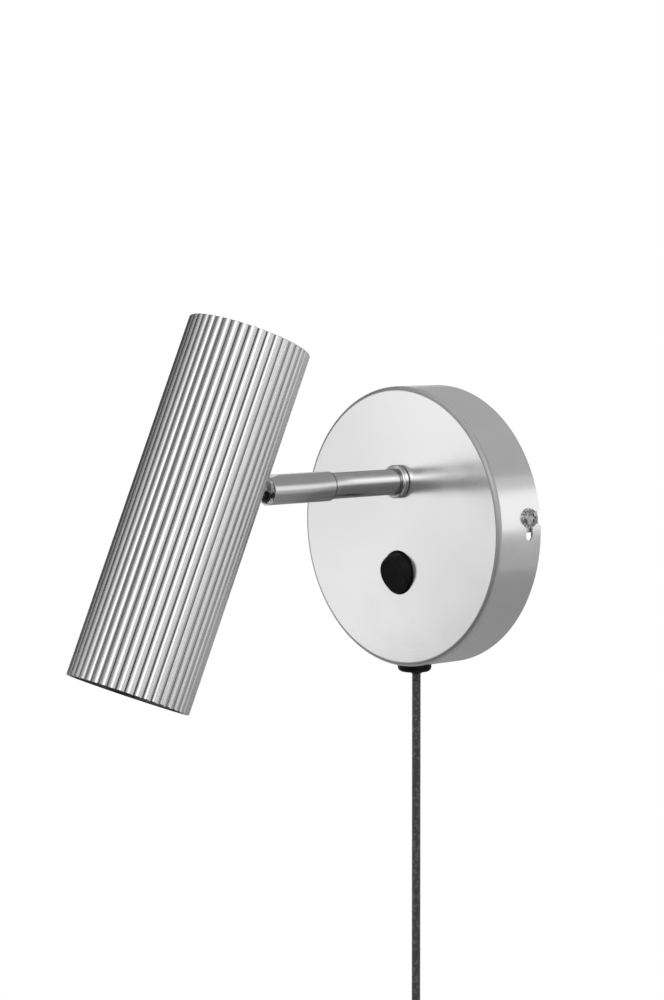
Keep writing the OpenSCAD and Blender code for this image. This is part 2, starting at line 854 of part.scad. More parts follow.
module switch_terminals() {
  color("goldenrod") for (x = [-1, 1])
    translate([x * tab_spread, 0, -button_drop]) outward(inside_out - housing_depth)
      translate([-tab_blade_h / 2, 0, 0]) {
        translate([0, -tab_blade_w / 2, -tab_blade_len])
          cube([tab_blade_h, tab_blade_w, tab_blade_len + housing_floor + tab_foot_h]);
        translate([0, -tab_blade_w / 2, housing_floor])
          cube([tab_blade_h, tab_blade_w / 2 + tab_riser_to, tab_foot_h]);
        translate([0, tab_riser_from, housing_floor])
          cube([tab_blade_h, tab_riser_to - tab_riser_from, tab_riser_h]);
      }
}

// The frame of the button at its pivot, with z out through its flat face.
module at_button() {
  translate([0, 0, -button_drop]) outward(button_out) rotate([button_tilt, 0, 0]) children();
}

module switch_button() {
  color("black") at_button() {
    intersection() {
      sphere(r = button_r);
      translate([0, 0, -button_back]) cylinder(r = button_r + over, h = button_back + button_stand);
    }
    along_x(trunnion_r, -trunnion_reach, trunnion_reach);
    translate([0, 0, -button_back - button_tail_len])
      cylinder(r = button_tail_r, h = button_tail_len + over);
  }
}

module contact_bridge() {
  color("goldenrod") at_button()
    translate([-bridge_len / 2, -bridge_w / 2, -button_back - button_tail_len - bridge_h])
      cube([bridge_len, bridge_w, bridge_h]);
}

module arm_collar() {
  bore = tube_r + fit;
  color("whitesmoke") on_arm(canopy_depth) difference() {
    rotate_extrude() difference() {
      shell_profile(collar_r, collar_len, collar_edge);
      translate([bore + collar_lip, collar_len - collar_groove_depth])
        square([collar_groove_w, collar_groove_depth + over]);
    }
    translate([0, 0, -over]) cylinder(r = bore, h = collar_len + 2 * over);
  }
}

module arm_tube() {
  color("lightgray") on_arm() difference() {
    union() {
      translate([0, 0, canopy_depth - thread_back]) cylinder(r = thread_r, h = thread_back + over);
      translate([0, 0, canopy_depth]) cylinder(r = tube_r, h = neck_start - canopy_depth);
      translate([0, 0, neck_start - over]) cylinder(r = neck_r, h = neck_end - neck_start + over);
    }
    translate([0, 0, canopy_depth - thread_back - over])
      cylinder(r = arm_bore_r, h = neck_end - canopy_depth + thread_back + 2 * over);
    translate([0, 0, ring_start - fit]) ring(tube_r, neck_r - ring_depth, ring_h + 2 * fit);
  }
}

module arm_washer() {
  color("gray") on_arm(inside_out - arm_washer_h) ring(arm_washer_r, thread_r + fit, arm_washer_h);
}

module arm_nut() {
  color("gray") on_arm(inside_out - arm_washer_h - arm_nut_h)
    hex_nut(arm_nut_af, thread_r + fit, arm_nut_h);
}

module friction_washer() {
  color("white") on_arm(neck_start + fit) ring(sleeve_bore_r - slack, neck_r + fit, friction_h);
}

module retaining_ring() {
  color("dimgray") on_arm(ring_start) ring(ring_r, neck_r - ring_depth + fit, ring_h);
}

// The flat on the end of the sleeve and the plug, which clears the shade when it lies level.
module end_bevel() {
  translate([-sleeve_r - over, sleeve_r, sleeve_end - bevel_run])
    rotate([atan(bevel_drop / bevel_run), 0, 0])
      cube([2 * sleeve_r + 2 * over, sleeve_r, bevel_run + pivot_gap]);
}

module arm_sleeve() {
  color("lightgray") on_sleeve() difference() {
    translate([0, 0, sleeve_start]) cylinder(r = sleeve_r, h = sleeve_len);
    translate([0, 0, sleeve_start - over]) cylinder(r = sleeve_bore_r, h = seat_start - sleeve_start + over);
    translate([0, 0, seat_start - over]) cylinder(r = neck_r + fit, h = seat_h + 2 * over);
    translate([0, 0, seat_start + seat_h]) cylinder(r = sleeve_bore_r, h = sleeve_len);
    end_bevel();
  }
}

module arm_knuckle() {
  plug_r = sleeve_bore_r - fit / 2;
  color("silver") on_sleeve() difference() {
    union() {
      difference() {
        translate([0, 0, sleeve_end - plug_len]) cylinder(r = plug_r, h = plug_len);
        end_bevel();
      }
      translate([tongue_left, pivot_rise - tongue_r, sleeve_end])
        cube([tongue_thick, 2 * tongue_r, pivot_gap]);
      translate([0, pivot_rise, pivot_out]) along_x(tongue_r, tongue_left, tongue_right);
    }
    translate([0, -lead_hole_drop, sleeve_end - plug_len - over])
      cylinder(r = lead_hole_r, h = plug_len + 2 * over);
    translate([0, pivot_rise, pivot_out])
      along_x(pivot_r + fit, tongue_left - over, tongue_right + over);
  }
}

module knuckle_grommet() {
  color("black") on_sleeve(sleeve_end - grommet_len) translate([0, -lead_hole_drop, 0]) difference() {
    union() {
      cylinder(r = grommet_r, h = grommet_len);
      translate([0, 0, grommet_len]) intersection() {
        cylinder(r = lead_hole_r + grommet_lip, h = grommet_lip_h);
        translate([0, lead_hole_drop, 0]) cylinder(r = sleeve_bore_r, h = grommet_lip_h);
        translate([-sleeve_r, -sleeve_r, 0])
          cube([2 * sleeve_r, sleeve_r + lead_hole_drop + pivot_rise - tongue_r - fit, grommet_lip_h]);
      }
    }
    translate([0, 0, -over]) cylinder(r = lead_r + fit, h = grommet_len + grommet_lip_h + 2 * over);
  }
}

module knuckle_lead() {
  color("black") on_sleeve(sleeve_end - plug_len) translate([0, -lead_hole_drop, 0])
    cylinder(r = lead_r, h = plug_len + grommet_lip_h + lead_r / 2);
}

module pivot_screw() {
  head_start = shade_tongue_left - fit;
  color("silver") on_sleeve() translate([head_start, pivot_rise, pivot_out]) rotate([0, -90, 0])
    slotted_screw(
      pivot_r, tongue_right - head_start, pivot_head_r, pivot_head_h, pivot_slot_w, pivot_slot_depth
    );
}

module pivot_washer() {
  color("white") on_sleeve() translate([tongue_left - pivot_washer_h - fit, pivot_rise, pivot_out])
    rotate([0, 90, 0]) ring(pivot_washer_r, pivot_r + fit, pivot_washer_h);
}

module shade_knuckle() {
  foot_start = tongue_r + foot_gap;
  color("silver") at_pivot() difference() {
    union() {
      along_x(shade_tongue_r, shade_tongue_left, shade_tongue_right);
      difference() {
        union() {
          translate([shade_tongue_left, -shade_offset + shade_bore_r, -shade_tongue_r])
            cube([tongue_thick, shade_offset - shade_bore_r, 2 * shade_tongue_r]);
          intersection() {
            outward(foot_start - over) cylinder(r = foot_r, h = shade_r);
            translate([0, -shade_offset, -foot_r]) cylinder(r = shade_r + foot_thick, h = 2 * foot_r);
          }
        }
        translate([0, -shade_offset, -shade_r]) cylinder(r = shade_r + fit, h = 2 * shade_r, $fn = 96);
      }
      outward(foot_start + foot_thick / 2) cylinder(r = stud_r, h = stud_len);
    }
    along_x(pivot_r + fit, shade_tongue_left - over, shade_tongue_right + over);
  }
}

module shade_tube() {
  color("silver") in_shade() difference() {
    translate([0, 0, shade_bottom]) linear_extrude(shade_len) difference() {
      union() {
        circle(r = groove_r - fit);
        for (i = [0:reed_count - 1]) rotate(i * 2 * reed_half_angle)
          translate([0, reed_ring_r]) circle(r = reed_r);
      }
      circle(r = shade_bore_r);
    }
    rotate([-90, 0, 0]) cylinder(r = stud_hole_r, h = shade_r + over);
    translate([0, 0, -shade_lead_drop]) rotate([-90, 0, 0]) cylinder(r = shade_lead_r, h = shade_r + over);
  }
}

module shade_cap() {
  cap_r = shade_bore_r - fit;
  color("dimgray") in_shade() translate([0, 0, shade_top - cap_recess]) difference() {
    translate([0, 0, -cap_skirt]) cylinder(r = cap_r, h = cap_skirt);
    translate([0, 0, -cap_skirt - over]) cylinder(r = cap_r - cap_thick, h = cap_skirt - cap_thick + over);
    for (i = [0:vent_count - 1]) rotate(i * 360 / vent_count) translate([vent_ring_r, 0, -cap_thick - over])
      cylinder(r = vent_r, h = cap_thick + 2 * over);
  }
}

module lead_bush() {
  hole_r = shade_lead_r - fit;
  start = tab_face - bracket_thick - bush_in;
  color("black") in_shade() translate([0, start, -shade_lead_drop]) rotate([-90, 0, 0]) difference() {
    union() {
      cylinder(r = hole_r, h = shade_r + fit - start + bush_lip_h / 2);
      translate([0, 0, shade_r + fit - start]) cylinder(r = hole_r + bush_lip, h = bush_lip_h);
    }
    translate([0, 0, -over]) cylinder(r = hole_r - bush_wall, h = shade_r);
  }
}

module stud_washer() {
  color("gray") in_shade() translate([0, tab_face - bracket_thick - stud_washer_h, 0])
    rotate([-90, 0, 0]) ring(stud_washer_r, stud_r + fit, stud_washer_h);
}

module stud_nut() {
  color("gray") in_shade() translate([0, tab_face - bracket_thick - stud_washer_h - stud_nut_h, 0])
    rotate([-90, 0, 0]) hex_nut(stud_nut_af, stud_r + fit, stud_nut_h);
}

module lampholder_bracket() {
  color("lightgray") in_shade() difference() {
    union() {
      translate([-tab_w / 2, tab_face - bracket_thick, -plate_drop])
        cube([tab_w, bracket_thick, plate_drop + tab_rise]);
      translate([-tab_w / 2, 0, -plate_drop]) cube([tab_w, tab_face, bracket_thick]);
      translate([0, 0, -plate_drop]) cylinder(r = plate_r, h = bracket_thick);
    }
    rotate([-90, 0, 0]) cylinder(r = stud_hole_r, h = shade_r);
    translate([0, plate_r, -shade_lead_drop]) rotate([-90, 0, 0]) cylinder(r = shade_lead_r, h = shade_r);
    for (y = [-1, 1]) translate([0, y * bracket_screw_spread, -plate_drop - over])
      cylinder(r = bracket_screw_r + slack, h = bracket_thick + 2 * over);
    for (x = [-1, 1]) translate([x * pin_spread, 0, -plate_drop - over])
      cylinder(r = shade_lead_r, h = bracket_thick + 2 * over);
  }
}

module bracket_screws() {
  color("gray") in_shade() for (y = [-1, 1])
    translate([0, y * bracket_screw_spread, -plate_drop + bracket_thick])
      slotted_screw(
        bracket_screw_r, bracket_screw_len, bracket_head_r, bracket_head_h, bracket_slot_w, bracket_slot_depth
      );
}

module lampholder() {
  color("white") in_shade() translate([0, 0, holder_bottom]) difference() {
    union() {
      cylinder(r = holder_r, h = holder_h - holder_edge);
      translate([0, 0, holder_h - holder_edge])
        cylinder(r1 = holder_r, r2 = holder_r - holder_edge, h = holder_edge);
    }
    for (x = [-1, 1]) translate([x * pin_spread, 0, -over])
      cylinder(r = pin_head_r + slack, h = pin_hole_depth + over);
    for (y = [-1, 1]) translate([0, y * bracket_screw_spread, holder_h - bracket_screw_len])
      cylinder(r = bracket_screw_r + fit, h = bracket_screw_len + over);
    for (x = [-1, 1]) translate([x * pin_spread, 0, holder_h - lamp_lead_hole])
      cylinder(r = shade_lead_r - bush_wall, h = lamp_lead_hole + over);
  }
}

// Two cores from the bush down into the lampholder.
module lamp_leads() {
  start = [0, tab_face - bracket_thick - bush_in, -shade_lead_drop];
  color("saddlebrown") in_shade() for (x = [-1, 1]) tube(
    concat(
      [start + [x * lamp_lead_apart, lamp_lead_r, 0], start + [x * lamp_lead_apart, 0, 0]],
      [for (point = lamp_lead_mid) [x * point[0], point[1], point[2]]],
      [
        [x * pin_spread, 0, holder_top + over + bracket_thick], [x * pin_spread, 0, holder_top],
        [x * pin_spread, 0, holder_top - lamp_lead_in]
      ]
    ),
    lamp_lead_r, core_sides, [1, 0.4 * x, 0]
  );
}

module lamp_body() {
  mouth_r = lamp_r - lamp_rim_wall;
  seat = lamp_bottom + lens_recess + lens_thick;
  color("whitesmoke") in_shade() difference() {
    rotate_extrude() polygon([
      [0, lamp_top], [lamp_base_r, lamp_top], [lamp_base_r, lamp_top - lamp_base_h],
      [lamp_r, lamp_bottom + lamp_rim_h], [lamp_r, lamp_bottom], [mouth_r, lamp_bottom],
      [mouth_r, seat], [0, seat]
    ]);
    for (x = [-1, 1]) translate([x * pin_spread, 0, lamp_top - pin_len])
      cylinder(r = pin_neck_r + fit, h = pin_len + over);
  }
}

module lamp_lens() {
  color("white") in_shade() translate([0, 0, lamp_bottom + lens_recess])
    cylinder(r = lamp_r - lamp_rim_wall - fit, h = lens_thick);
}

module lamp_pins() {
  color("gray") in_shade() for (x = [-1, 1]) translate([x * pin_spread, 0, 0]) {
    translate([0, 0, lamp_top - pin_len]) cylinder(r = pin_neck_r, h = 2 * pin_len);
    translate([0, 0, lamp_top + pin_len - pin_head_h]) cylinder(r = pin_head_r, h = pin_head_h);
  }
}

module cord() {
  exit = [0, -cord_out, cord_exit];
  color("dimgray") tube(
    concat([for (point = cord_route) exit + point], [coil_path[0] - cord_d * coil_in, coil_path[0]]),
    cord_r, cord_sides, [0, 1, 0]
  );
}

module cord_coil() {
  echo(coil_least_gap = least_gap());
  color("dimgray") tube(coil_path, cord_r, loop_sides, [0, 1, 0]);
}

module cord_tie() {
  wide = layer_turns * coil_pitch + cord_d + 2 * tie_clear;
  deep = (layer_count - 1) * coil_pitch + cord_d + 2 * tie_clear;
  color("black") translate([0, -cord_out - (layer_count - 1) * coil_pitch / 2, coil_z])
    rotate([0, tie_angle, 0]) translate([0, 0, coil_middle_d / 2]) rotate([0, 90, 0])
      linear_extrude(tie_w, center = true) difference() {
        round_rect(wide + 2 * tie_thick, deep + 2 * tie_thick, tie_round + tie_thick);
        round_rect(wide, deep, tie_round);
      }
}

// One rounded block of the plug, at height z.
module plug_block(w, thick, z) {
  for (x = [-1, 1]) for (y = [-1, 1])
    translate([x * (w / 2 - plug_round), y * (thick / 2 - plug_round), z]) sphere(r = plug_round, $fn = 24);
}

module plug_body() {
  body_top = plug_top - relief_len;
  color("dimgray") translate([plug_x, plug_y, 0]) difference() {
    union() {
      translate([0, 0, body_top - plug_round])
        cylinder(r1 = relief_base_r, r2 = relief_tip_r, h = relief_len + plug_round);
      hull() {
        plug_block(plug_neck_w, plug_neck_thick, body_top - plug_round);
        plug_block(plug_w, plug_thick, body_top - plug_len_body / 2);
        plug_block(plug_w, plug_thick, body_top - plug_len_body + plug_round);
      }
      for (x = [-1, 1]) translate([x * plug_pin_spread, 0, body_top - plug_len_body - plug_sleeve_len])
        cylinder(r = plug_sleeve_r, h = plug_sleeve_len + plug_round);
    }
    for (x = [-1, 1]) translate([x * plug_pin_spread, 0, body_top - plug_len_body - plug_sleeve_len - over])
      cylinder(r = plug_core_r + fit, h = plug_sleeve_len + plug_pin_in + over);
  }
}

module plug_pins() {
  tip = plug_top - relief_len - plug_len_body - plug_pin_len;
  color("silver") for (x = [-1, 1]) translate([plug_x + x * plug_pin_spread, plug_y, tip]) {
    cylinder(r = plug_pin_r, h = plug_pin_len - plug_sleeve_len);
    cylinder(r = plug_core_r, h = plug_pin_len + plug_pin_in);
  }
}

wall_bracket();
side_screws();
lock_washers();
canopy_cover();
cord_gland();
gland_nut();
cord_inlet();
clamp_base();
cord_clamp();
clamp_screws();
terminal_block();
terminal_screws();
block_nut();
core_wires();
switch_housing();
switch_nuts();
switch_terminals();
switch_button();
contact_bridge();
arm_collar();
arm_tube();
arm_washer();
arm_nut();
friction_washer();
retaining_ring();
arm_sleeve();
arm_knuckle();
knuckle_grommet();
knuckle_lead();
pivot_screw();
pivot_washer();
shade_knuckle();
shade_tube();
shade_cap();
lead_bush();
stud_washer();
stud_nut();
lampholder_bracket();
bracket_screws();
lampholder();
lamp_leads();
lamp_body();
lamp_lens();
lamp_pins();
cord();
cord_coil();
cord_tie();
plug_body();
plug_pins();
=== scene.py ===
# %% [markdown]
# # A reeded tube wall light
# The light hangs on a wall: a round canopy, an arm that turns, a reeded tube shade that tilts on the arm's
# end, a rocking push button and a braided cord. The solid model gives every place and size. This lesson
# dresses it: most pieces that show are surfaces worked out with numpy, the rest are parts of the solid model
# with small rounds, and each finish is a small network of shader nodes.

# %% Load the solid model as a fixed frame
import math

import bmesh
import bpy
import numpy as np
from mathutils import Matrix, Vector


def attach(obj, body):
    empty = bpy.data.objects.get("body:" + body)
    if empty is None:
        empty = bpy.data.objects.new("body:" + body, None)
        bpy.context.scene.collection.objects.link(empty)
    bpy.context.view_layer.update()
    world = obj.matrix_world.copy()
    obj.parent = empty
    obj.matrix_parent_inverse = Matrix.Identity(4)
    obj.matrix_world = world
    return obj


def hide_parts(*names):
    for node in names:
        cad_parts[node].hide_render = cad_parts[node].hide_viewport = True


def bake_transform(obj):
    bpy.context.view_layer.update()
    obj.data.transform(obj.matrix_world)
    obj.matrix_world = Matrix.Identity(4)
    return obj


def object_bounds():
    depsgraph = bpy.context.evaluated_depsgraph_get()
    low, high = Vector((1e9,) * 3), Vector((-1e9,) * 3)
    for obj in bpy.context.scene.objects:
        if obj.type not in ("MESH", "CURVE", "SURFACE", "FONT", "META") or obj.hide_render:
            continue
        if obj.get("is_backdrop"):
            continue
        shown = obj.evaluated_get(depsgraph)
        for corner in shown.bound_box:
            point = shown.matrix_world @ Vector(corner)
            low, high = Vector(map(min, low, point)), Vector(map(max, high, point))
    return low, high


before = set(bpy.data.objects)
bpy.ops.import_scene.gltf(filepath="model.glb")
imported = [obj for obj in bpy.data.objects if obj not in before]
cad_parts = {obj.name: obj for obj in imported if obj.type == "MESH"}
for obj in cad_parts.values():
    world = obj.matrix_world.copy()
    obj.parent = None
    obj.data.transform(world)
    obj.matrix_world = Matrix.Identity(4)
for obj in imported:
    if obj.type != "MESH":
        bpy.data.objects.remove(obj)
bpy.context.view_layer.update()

MM = 0.001
scene = bpy.context.scene


def in_mm(corner):
    return [round(x / MM, 1) for x in corner]


def add(name, data):
    """A new object in the scene, made of the given data."""
    made = bpy.data.objects.new(name, data)
    scene.collection.objects.link(made)
    return made


# %% [markdown]
# ## The camera
# The photograph was taken from the right of the light, a little above its middle. The camera's place and
# lens were worked out from the ellipses of the canopy and the shade, so they are plain numbers here.

# %% Camera
CAMERA_AT, LENS, FILM_WIDTH = (797.826, -781.655, 96.451), 92.930, 36
BACK = Vector((0.74087, -0.66722, 0.07703)).normalized()
RIGHT = Vector((0.66928, 0.74301, -0.00126))
RIGHT = (RIGHT - RIGHT.dot(BACK) * BACK).normalized()
camera_data = bpy.data.cameras.new("camera")
camera_data.sensor_width, camera_data.lens = FILM_WIDTH, LENS
camera_data.clip_start, camera_data.clip_end = 0.01, 50
camera = add("camera", camera_data)
camera.matrix_world = Matrix.Translation(Vector(CAMERA_AT) * MM) @ Matrix(
    (RIGHT, BACK.cross(RIGHT), BACK)).transposed().to_4x4()
scene.camera = camera
print("camera", round((camera.location / MM).length), "mm from the middle of the wall plate")

# %% [markdown]
# ## Places
# Every piece is drawn where it is easy to describe, such as a turned part about its own axis. A place is
# a turn and a shift that carry those points into the frame of the solid model. In the places below, z
# points away from the wall along the arm, or up along the shade.

# %% Places of the canopy, arm, sleeve, shade and button
class Place:
    """A frame of its own: a point is turned, then shifted. Lengths are in mm."""

    def __init__(self, turn, shift=(0, 0, 0)):
        self.turn, self.shift = np.array(turn, float), np.array(shift, float)

    def __call__(self, points):
        return np.asarray(points, float) @ self.turn.T + self.shift

    def inside(self, turn, shift=(0, 0, 0)):
        """A place that is given in this one."""
        return Place(self.turn @ np.array(turn, float), self(np.array(shift, float)))


def about(axis, degrees):
    """A right-handed turn about x, y or z."""
    return np.array(Matrix.Rotation(math.radians(degrees), 3, axis))


CANOPY_R, CANOPY_DEPTH, WALL = 60.0, 25.0, 1.0
FACE = CANOPY_DEPTH - WALL
ARM_HEIGHT, ARM_TURN, SHADE_TILT = 19.4, 4.2, 21.3
PIVOT_OUT, PIVOT_RISE, SHADE_OUT = 102.8, 2.4, 30.15
SHADE_TOP, SHADE_LOW = 53.25, -98.25
BUTTON_HEIGHT, BUTTON_LEAN = -19.6, 16
ROOM = Place(np.eye(3))
CANOPY = Place(about("X", 90))
ARM = Place(CANOPY.turn, (0, 0, ARM_HEIGHT))
ARM_TURNED = Place(about("Y", ARM_TURN), (0, 0, ARM_HEIGHT))
SLEEVE = ARM_TURNED.inside(CANOPY.turn)
TILTED = ARM_TURNED.inside(about("X", -SHADE_TILT), (0, -PIVOT_OUT, PIVOT_RISE))
SHADE = TILTED.inside(np.eye(3), (0, -SHADE_OUT, 0))
BUTTON = Place(about("X", 90 + BUTTON_LEAN), (0, -FACE, BUTTON_HEIGHT))
print("the shade's mouth is at", SHADE((0, 0, SHADE_LOW)).round(1),
      "and its top at", SHADE((0, 0, SHADE_TOP)).round(1))

# %% [markdown]
# ## From a grid of points to a mesh
# A grid has rows along a piece and columns round it, and each cell becomes a four-sided face. The first
# column is used again after the last one, so the skin closes. Where all points of a row fall together
# they become one pole, and its cells become triangles. Several copies of a form can share one mesh. The
# grid also gives a UV map, which runs once round the piece and in metres along it.

# %% Surface over a grid
def smooth(mesh, sharp=None):
    """Smooth shading, but for edges that turn more than the sharp angle."""
    mesh.polygons.foreach_set("use_smooth", np.ones(len(mesh.polygons), bool))
    if sharp:
        mesh.set_sharp_from_angle(angle=math.radians(sharp))


def surface(name, grid, place=ROOM, poles=(), loop=False, along=None, sharp=35):
    """A mesh over a grid of points of the shape copies, rows, columns, 3. Faces look to the side given
    by the columns' direction crossed with the rows' direction."""
    grid = np.asarray(grid, float)
    grid = grid[None] if grid.ndim == 3 else grid
    copies, rows, columns = grid.shape[:3]
    index = np.arange(copies * rows * columns).reshape(copies, rows, columns)
    for row in poles:
        index[:, row] = index[:, row, :1]
    index = np.concatenate([index, index[:, :1]], 1) if loop else index
    index = np.concatenate([index, index[:, :, :1]], 2)
    along = np.arange(index.shape[1]) * MM if along is None else np.asarray(along)
    round_share, run = np.meshgrid(np.linspace(0, 1, columns + 1), along)
    fields = [index, *(np.broadcast_to(field, index.shape) for field in (round_share, run))]
    quads, *uv = [np.stack([f[:, :-1, :-1], f[:, :-1, 1:], f[:, 1:, 1:], f[:, 1:, :-1]], -1).reshape(-1, 4)
                  for f in fields]
    corner = np.ones(quads.shape, bool)
    corner[quads[:, 0] == quads[:, 1], 1] = False
    corner[quads[:, 2] == quads[:, 3], 3] = False
    used, compact = np.unique(quads[corner], return_inverse=True)
    faces = [face.tolist() for face in np.split(compact.ravel(), np.cumsum(corner.sum(1))[:-1])]
    mesh = bpy.data.meshes.new(name)
    mesh.from_pydata(place(grid.reshape(-1, 3)[used]) * MM, [], faces)
    mesh.uv_layers.new(name="UVMap").data.foreach_set("uv", np.stack([f[corner] for f in uv], -1).ravel())
    smooth(mesh, sharp)
    return add(name, mesh)


print("surface() is ready")

# %% [markdown]
# ## Turned parts with eased edges
# A lathe part is an outline carried round an axis. Real edges are never knife sharp, and the small round
# on an edge catches the light, so each corner of an outline carries the radius of its rounding. A guard
# point just beyond each end of an arc keeps the flat faces flat in the shading.

# %% Rounded outlines and turning
GUARD = 0.2  # how far a guard point lies from its arc, as a share of the arc's radius


def eased(corners, steps=5):
    """Corners of (across, up, radius) become points: each corner is replaced by the arc that touches
    both of its sides, at radius / tan(half its angle) from the corner, with a guard point on each side."""
    at = np.array([c[:2] for c in corners], float)
    points = []
    for i, (x, y, radius) in enumerate(corners):
        here = at[i]
        if radius == 0:
            points.append(here[None])
            continue
        sides = (at[i - 1] - here, at[(i + 1) % len(at)] - here)
        before, after = (side / np.linalg.norm(side) for side in sides)
        half = math.acos(np.clip(before @ after, -1, 1)) / 2
        reach = radius / math.tan(half)
        middle = here + (before + after) / np.linalg.norm(before + after) * radius / math.sin(half)
        start, end = here + before * reach - middle, here + after * reach - middle
        first, sweep = math.atan2(start[1], start[0]), math.pi - 2 * half
        sweep *= 1 if start[0] * end[1] - start[1] * end[0] > 0 else -1
        turn = first + sweep * np.linspace(0, 1, steps + 1)
        arc = middle + radius * np.stack([np.cos(turn), np.sin(turn)], -1)
        points.append([arc[0] + before * GUARD * radius, *arc, arc[-1] + after * GUARD * radius])
    return np.concatenate(points)


def around(sides):
    return np.linspace(0, 2 * np.pi, sides, endpoint=False)


def distance_along(path):
    """How far each point of a path lies from its start."""
    return np.concatenate([[0], np.cumsum(np.linalg.norm(np.diff(path, axis=0), axis=1))])


def turned(name, outline, place, sides=96, at=((0, 0, 0),), sharp=35):
    """An outline of (radius, height) carried round z: x = radius cos a, y = radius sin a. It stands
    once at each of the given shifts. The outline runs up along the outside. If it starts and ends on
    the axis, the skin closes in two poles. If it doesn't, the last row joins the first."""
    outline = np.asarray(outline, float)
    radius, height = outline.T
    angle = around(sides)
    form = np.stack([np.outer(radius, np.cos(angle)), np.outer(radius, np.sin(angle)),
                     np.outer(height, np.ones(sides))], -1)
    run, loop = distance_along(outline), radius[0] > 0
    run = np.append(run, run[-1] + 0.1) if loop else run
    return surface(name, form + np.asarray(at, float)[:, None, None], place, () if loop else (0, -1),
                   loop, run * MM, sharp)


print("an eased corner has", len(eased([(0, 0, 0), (2, 0, 0.5), (2, 2, 0)])) - 2, "points")

# %% [markdown]
# ## Cuts and soft edges
# Slots and holes are cut with Blender's boolean tool, and the result is kept as the new mesh. The cutter
# is a prism with the outline of the hole. Parts of the solid model that are already right stay: they get
# small bevels from modifiers, which leave their points alone.

# %% Cutting and softening
def prism(outline, low, high, place):
    """A solid with the given outline in x and y, from z = low to z = high."""
    count = len(outline)
    points = np.concatenate([np.column_stack([outline, np.full(count, z)]) for z in (low, high)])
    i = np.arange(count)
    sides = np.column_stack([i, (i + 1) % count, (i + 1) % count + count, i + count])
    mesh = bpy.data.meshes.new("cutter")
    mesh.from_pydata(place(points) * MM, [], [i[::-1].tolist(), (i + count).tolist(), *sides.tolist()])
    solid = bmesh.new()
    solid.from_mesh(mesh)
    bmesh.ops.recalc_face_normals(solid, faces=solid.faces)
    solid.to_mesh(mesh)
    solid.free()
    return add("cutter", mesh)


def disc(radius, x=0, y=0, sides=96):
    angle = around(sides)
    return np.column_stack([x + radius * np.cos(angle), y + radius * np.sin(angle)])


def cut(made, *cutters):
    """Takes the cutters' space out of a piece and keeps what is left as its mesh."""
    for cutter in cutters:
        modifier = made.modifiers.new("cut", "BOOLEAN")
        modifier.operation, modifier.solver, modifier.object = "DIFFERENCE", "EXACT", cutter
        bpy.context.view_layer.update()
        mesh = bpy.data.meshes.new_from_object(made.evaluated_get(bpy.context.evaluated_depsgraph_get()))
        made.modifiers.clear()
        made.data = mesh
        smooth(mesh, 35)
        bpy.data.objects.remove(cutter)


def keep(node_name, material, width, segments=2):
    """A node of the solid model gets a finish. Its loose triangles are welded, flat faces made whole,
    and edges of more than 35 degrees get a small round of that width in mm."""
    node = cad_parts[node_name]
    mesh = node.data
    if "custom_normal" in mesh.attributes:
        mesh.attributes.remove(mesh.attributes["custom_normal"])
    smooth(mesh)
    node.modifiers.new("weld", "WELD").merge_threshold = 2e-6
    flat = node.modifiers.new("flat", "DECIMATE")
    flat.decimate_type, flat.angle_limit = "DISSOLVE", math.radians(0.5)
    bevel = node.modifiers.new("bevel", "BEVEL")
    bevel.width, bevel.segments, bevel.limit_method = width * MM, segments, "ANGLE"
    bevel.angle_limit, bevel.use_clamp_overlap = math.radians(35), True
    node.modifiers.new("split", "EDGE_SPLIT").split_angle = math.radians(38)
    mesh.materials.clear()
    mesh.materials.append(material)


print("helpers for cutting and softening are ready")

# %% [markdown]
# ## Writing shader maths as sums
# A finish is a network of nodes. Its arithmetic reads best as plain sums, so a small class wraps a
# socket, and each operator on it adds a Math node. A second class holds a tree of nodes and makes any
# other node from its type, its settings and its sockets' values. A finish is such a tree.

# %% Sockets, trees of nodes and finishes
class Sock:
    """One output of a node. An expression such as 1 - mask * 0.5 adds the nodes that work it out."""

    def __init__(self, graph, socket):
        self.graph, self.socket = graph, socket

    def other(self, name):
        """Another output of the same node."""
        return Sock(self.graph, self.socket.node.outputs[name])

    def math(self, operation, *values, clamp=False):
        return self.graph.node("Math", {"operation": operation, "use_clamp": clamp},
                               dict(enumerate(values)))

    def __add__(self, x): return self.math("ADD", self, x)
    def __sub__(self, x): return self.math("SUBTRACT", self, x)
    def __rsub__(self, x): return self.math("SUBTRACT", x, self)
    def __mul__(self, x): return self.math("MULTIPLY", self, x)
    def __truediv__(self, x): return self.math("DIVIDE", self, x)

    def sine(self): return self.math("SINE", self)
    def size(self): return self.math("ABSOLUTE", self)
    def part(self): return self.math("FRACT", self)
    def floor(self): return self.math("FLOOR", self)
    def over(self, x): return self.math("GREATER_THAN", self, x)
    def most(self, x): return self.math("MAXIMUM", self, x)
    def kept(self): return self.math("ADD", self, 0.0, clamp=True)


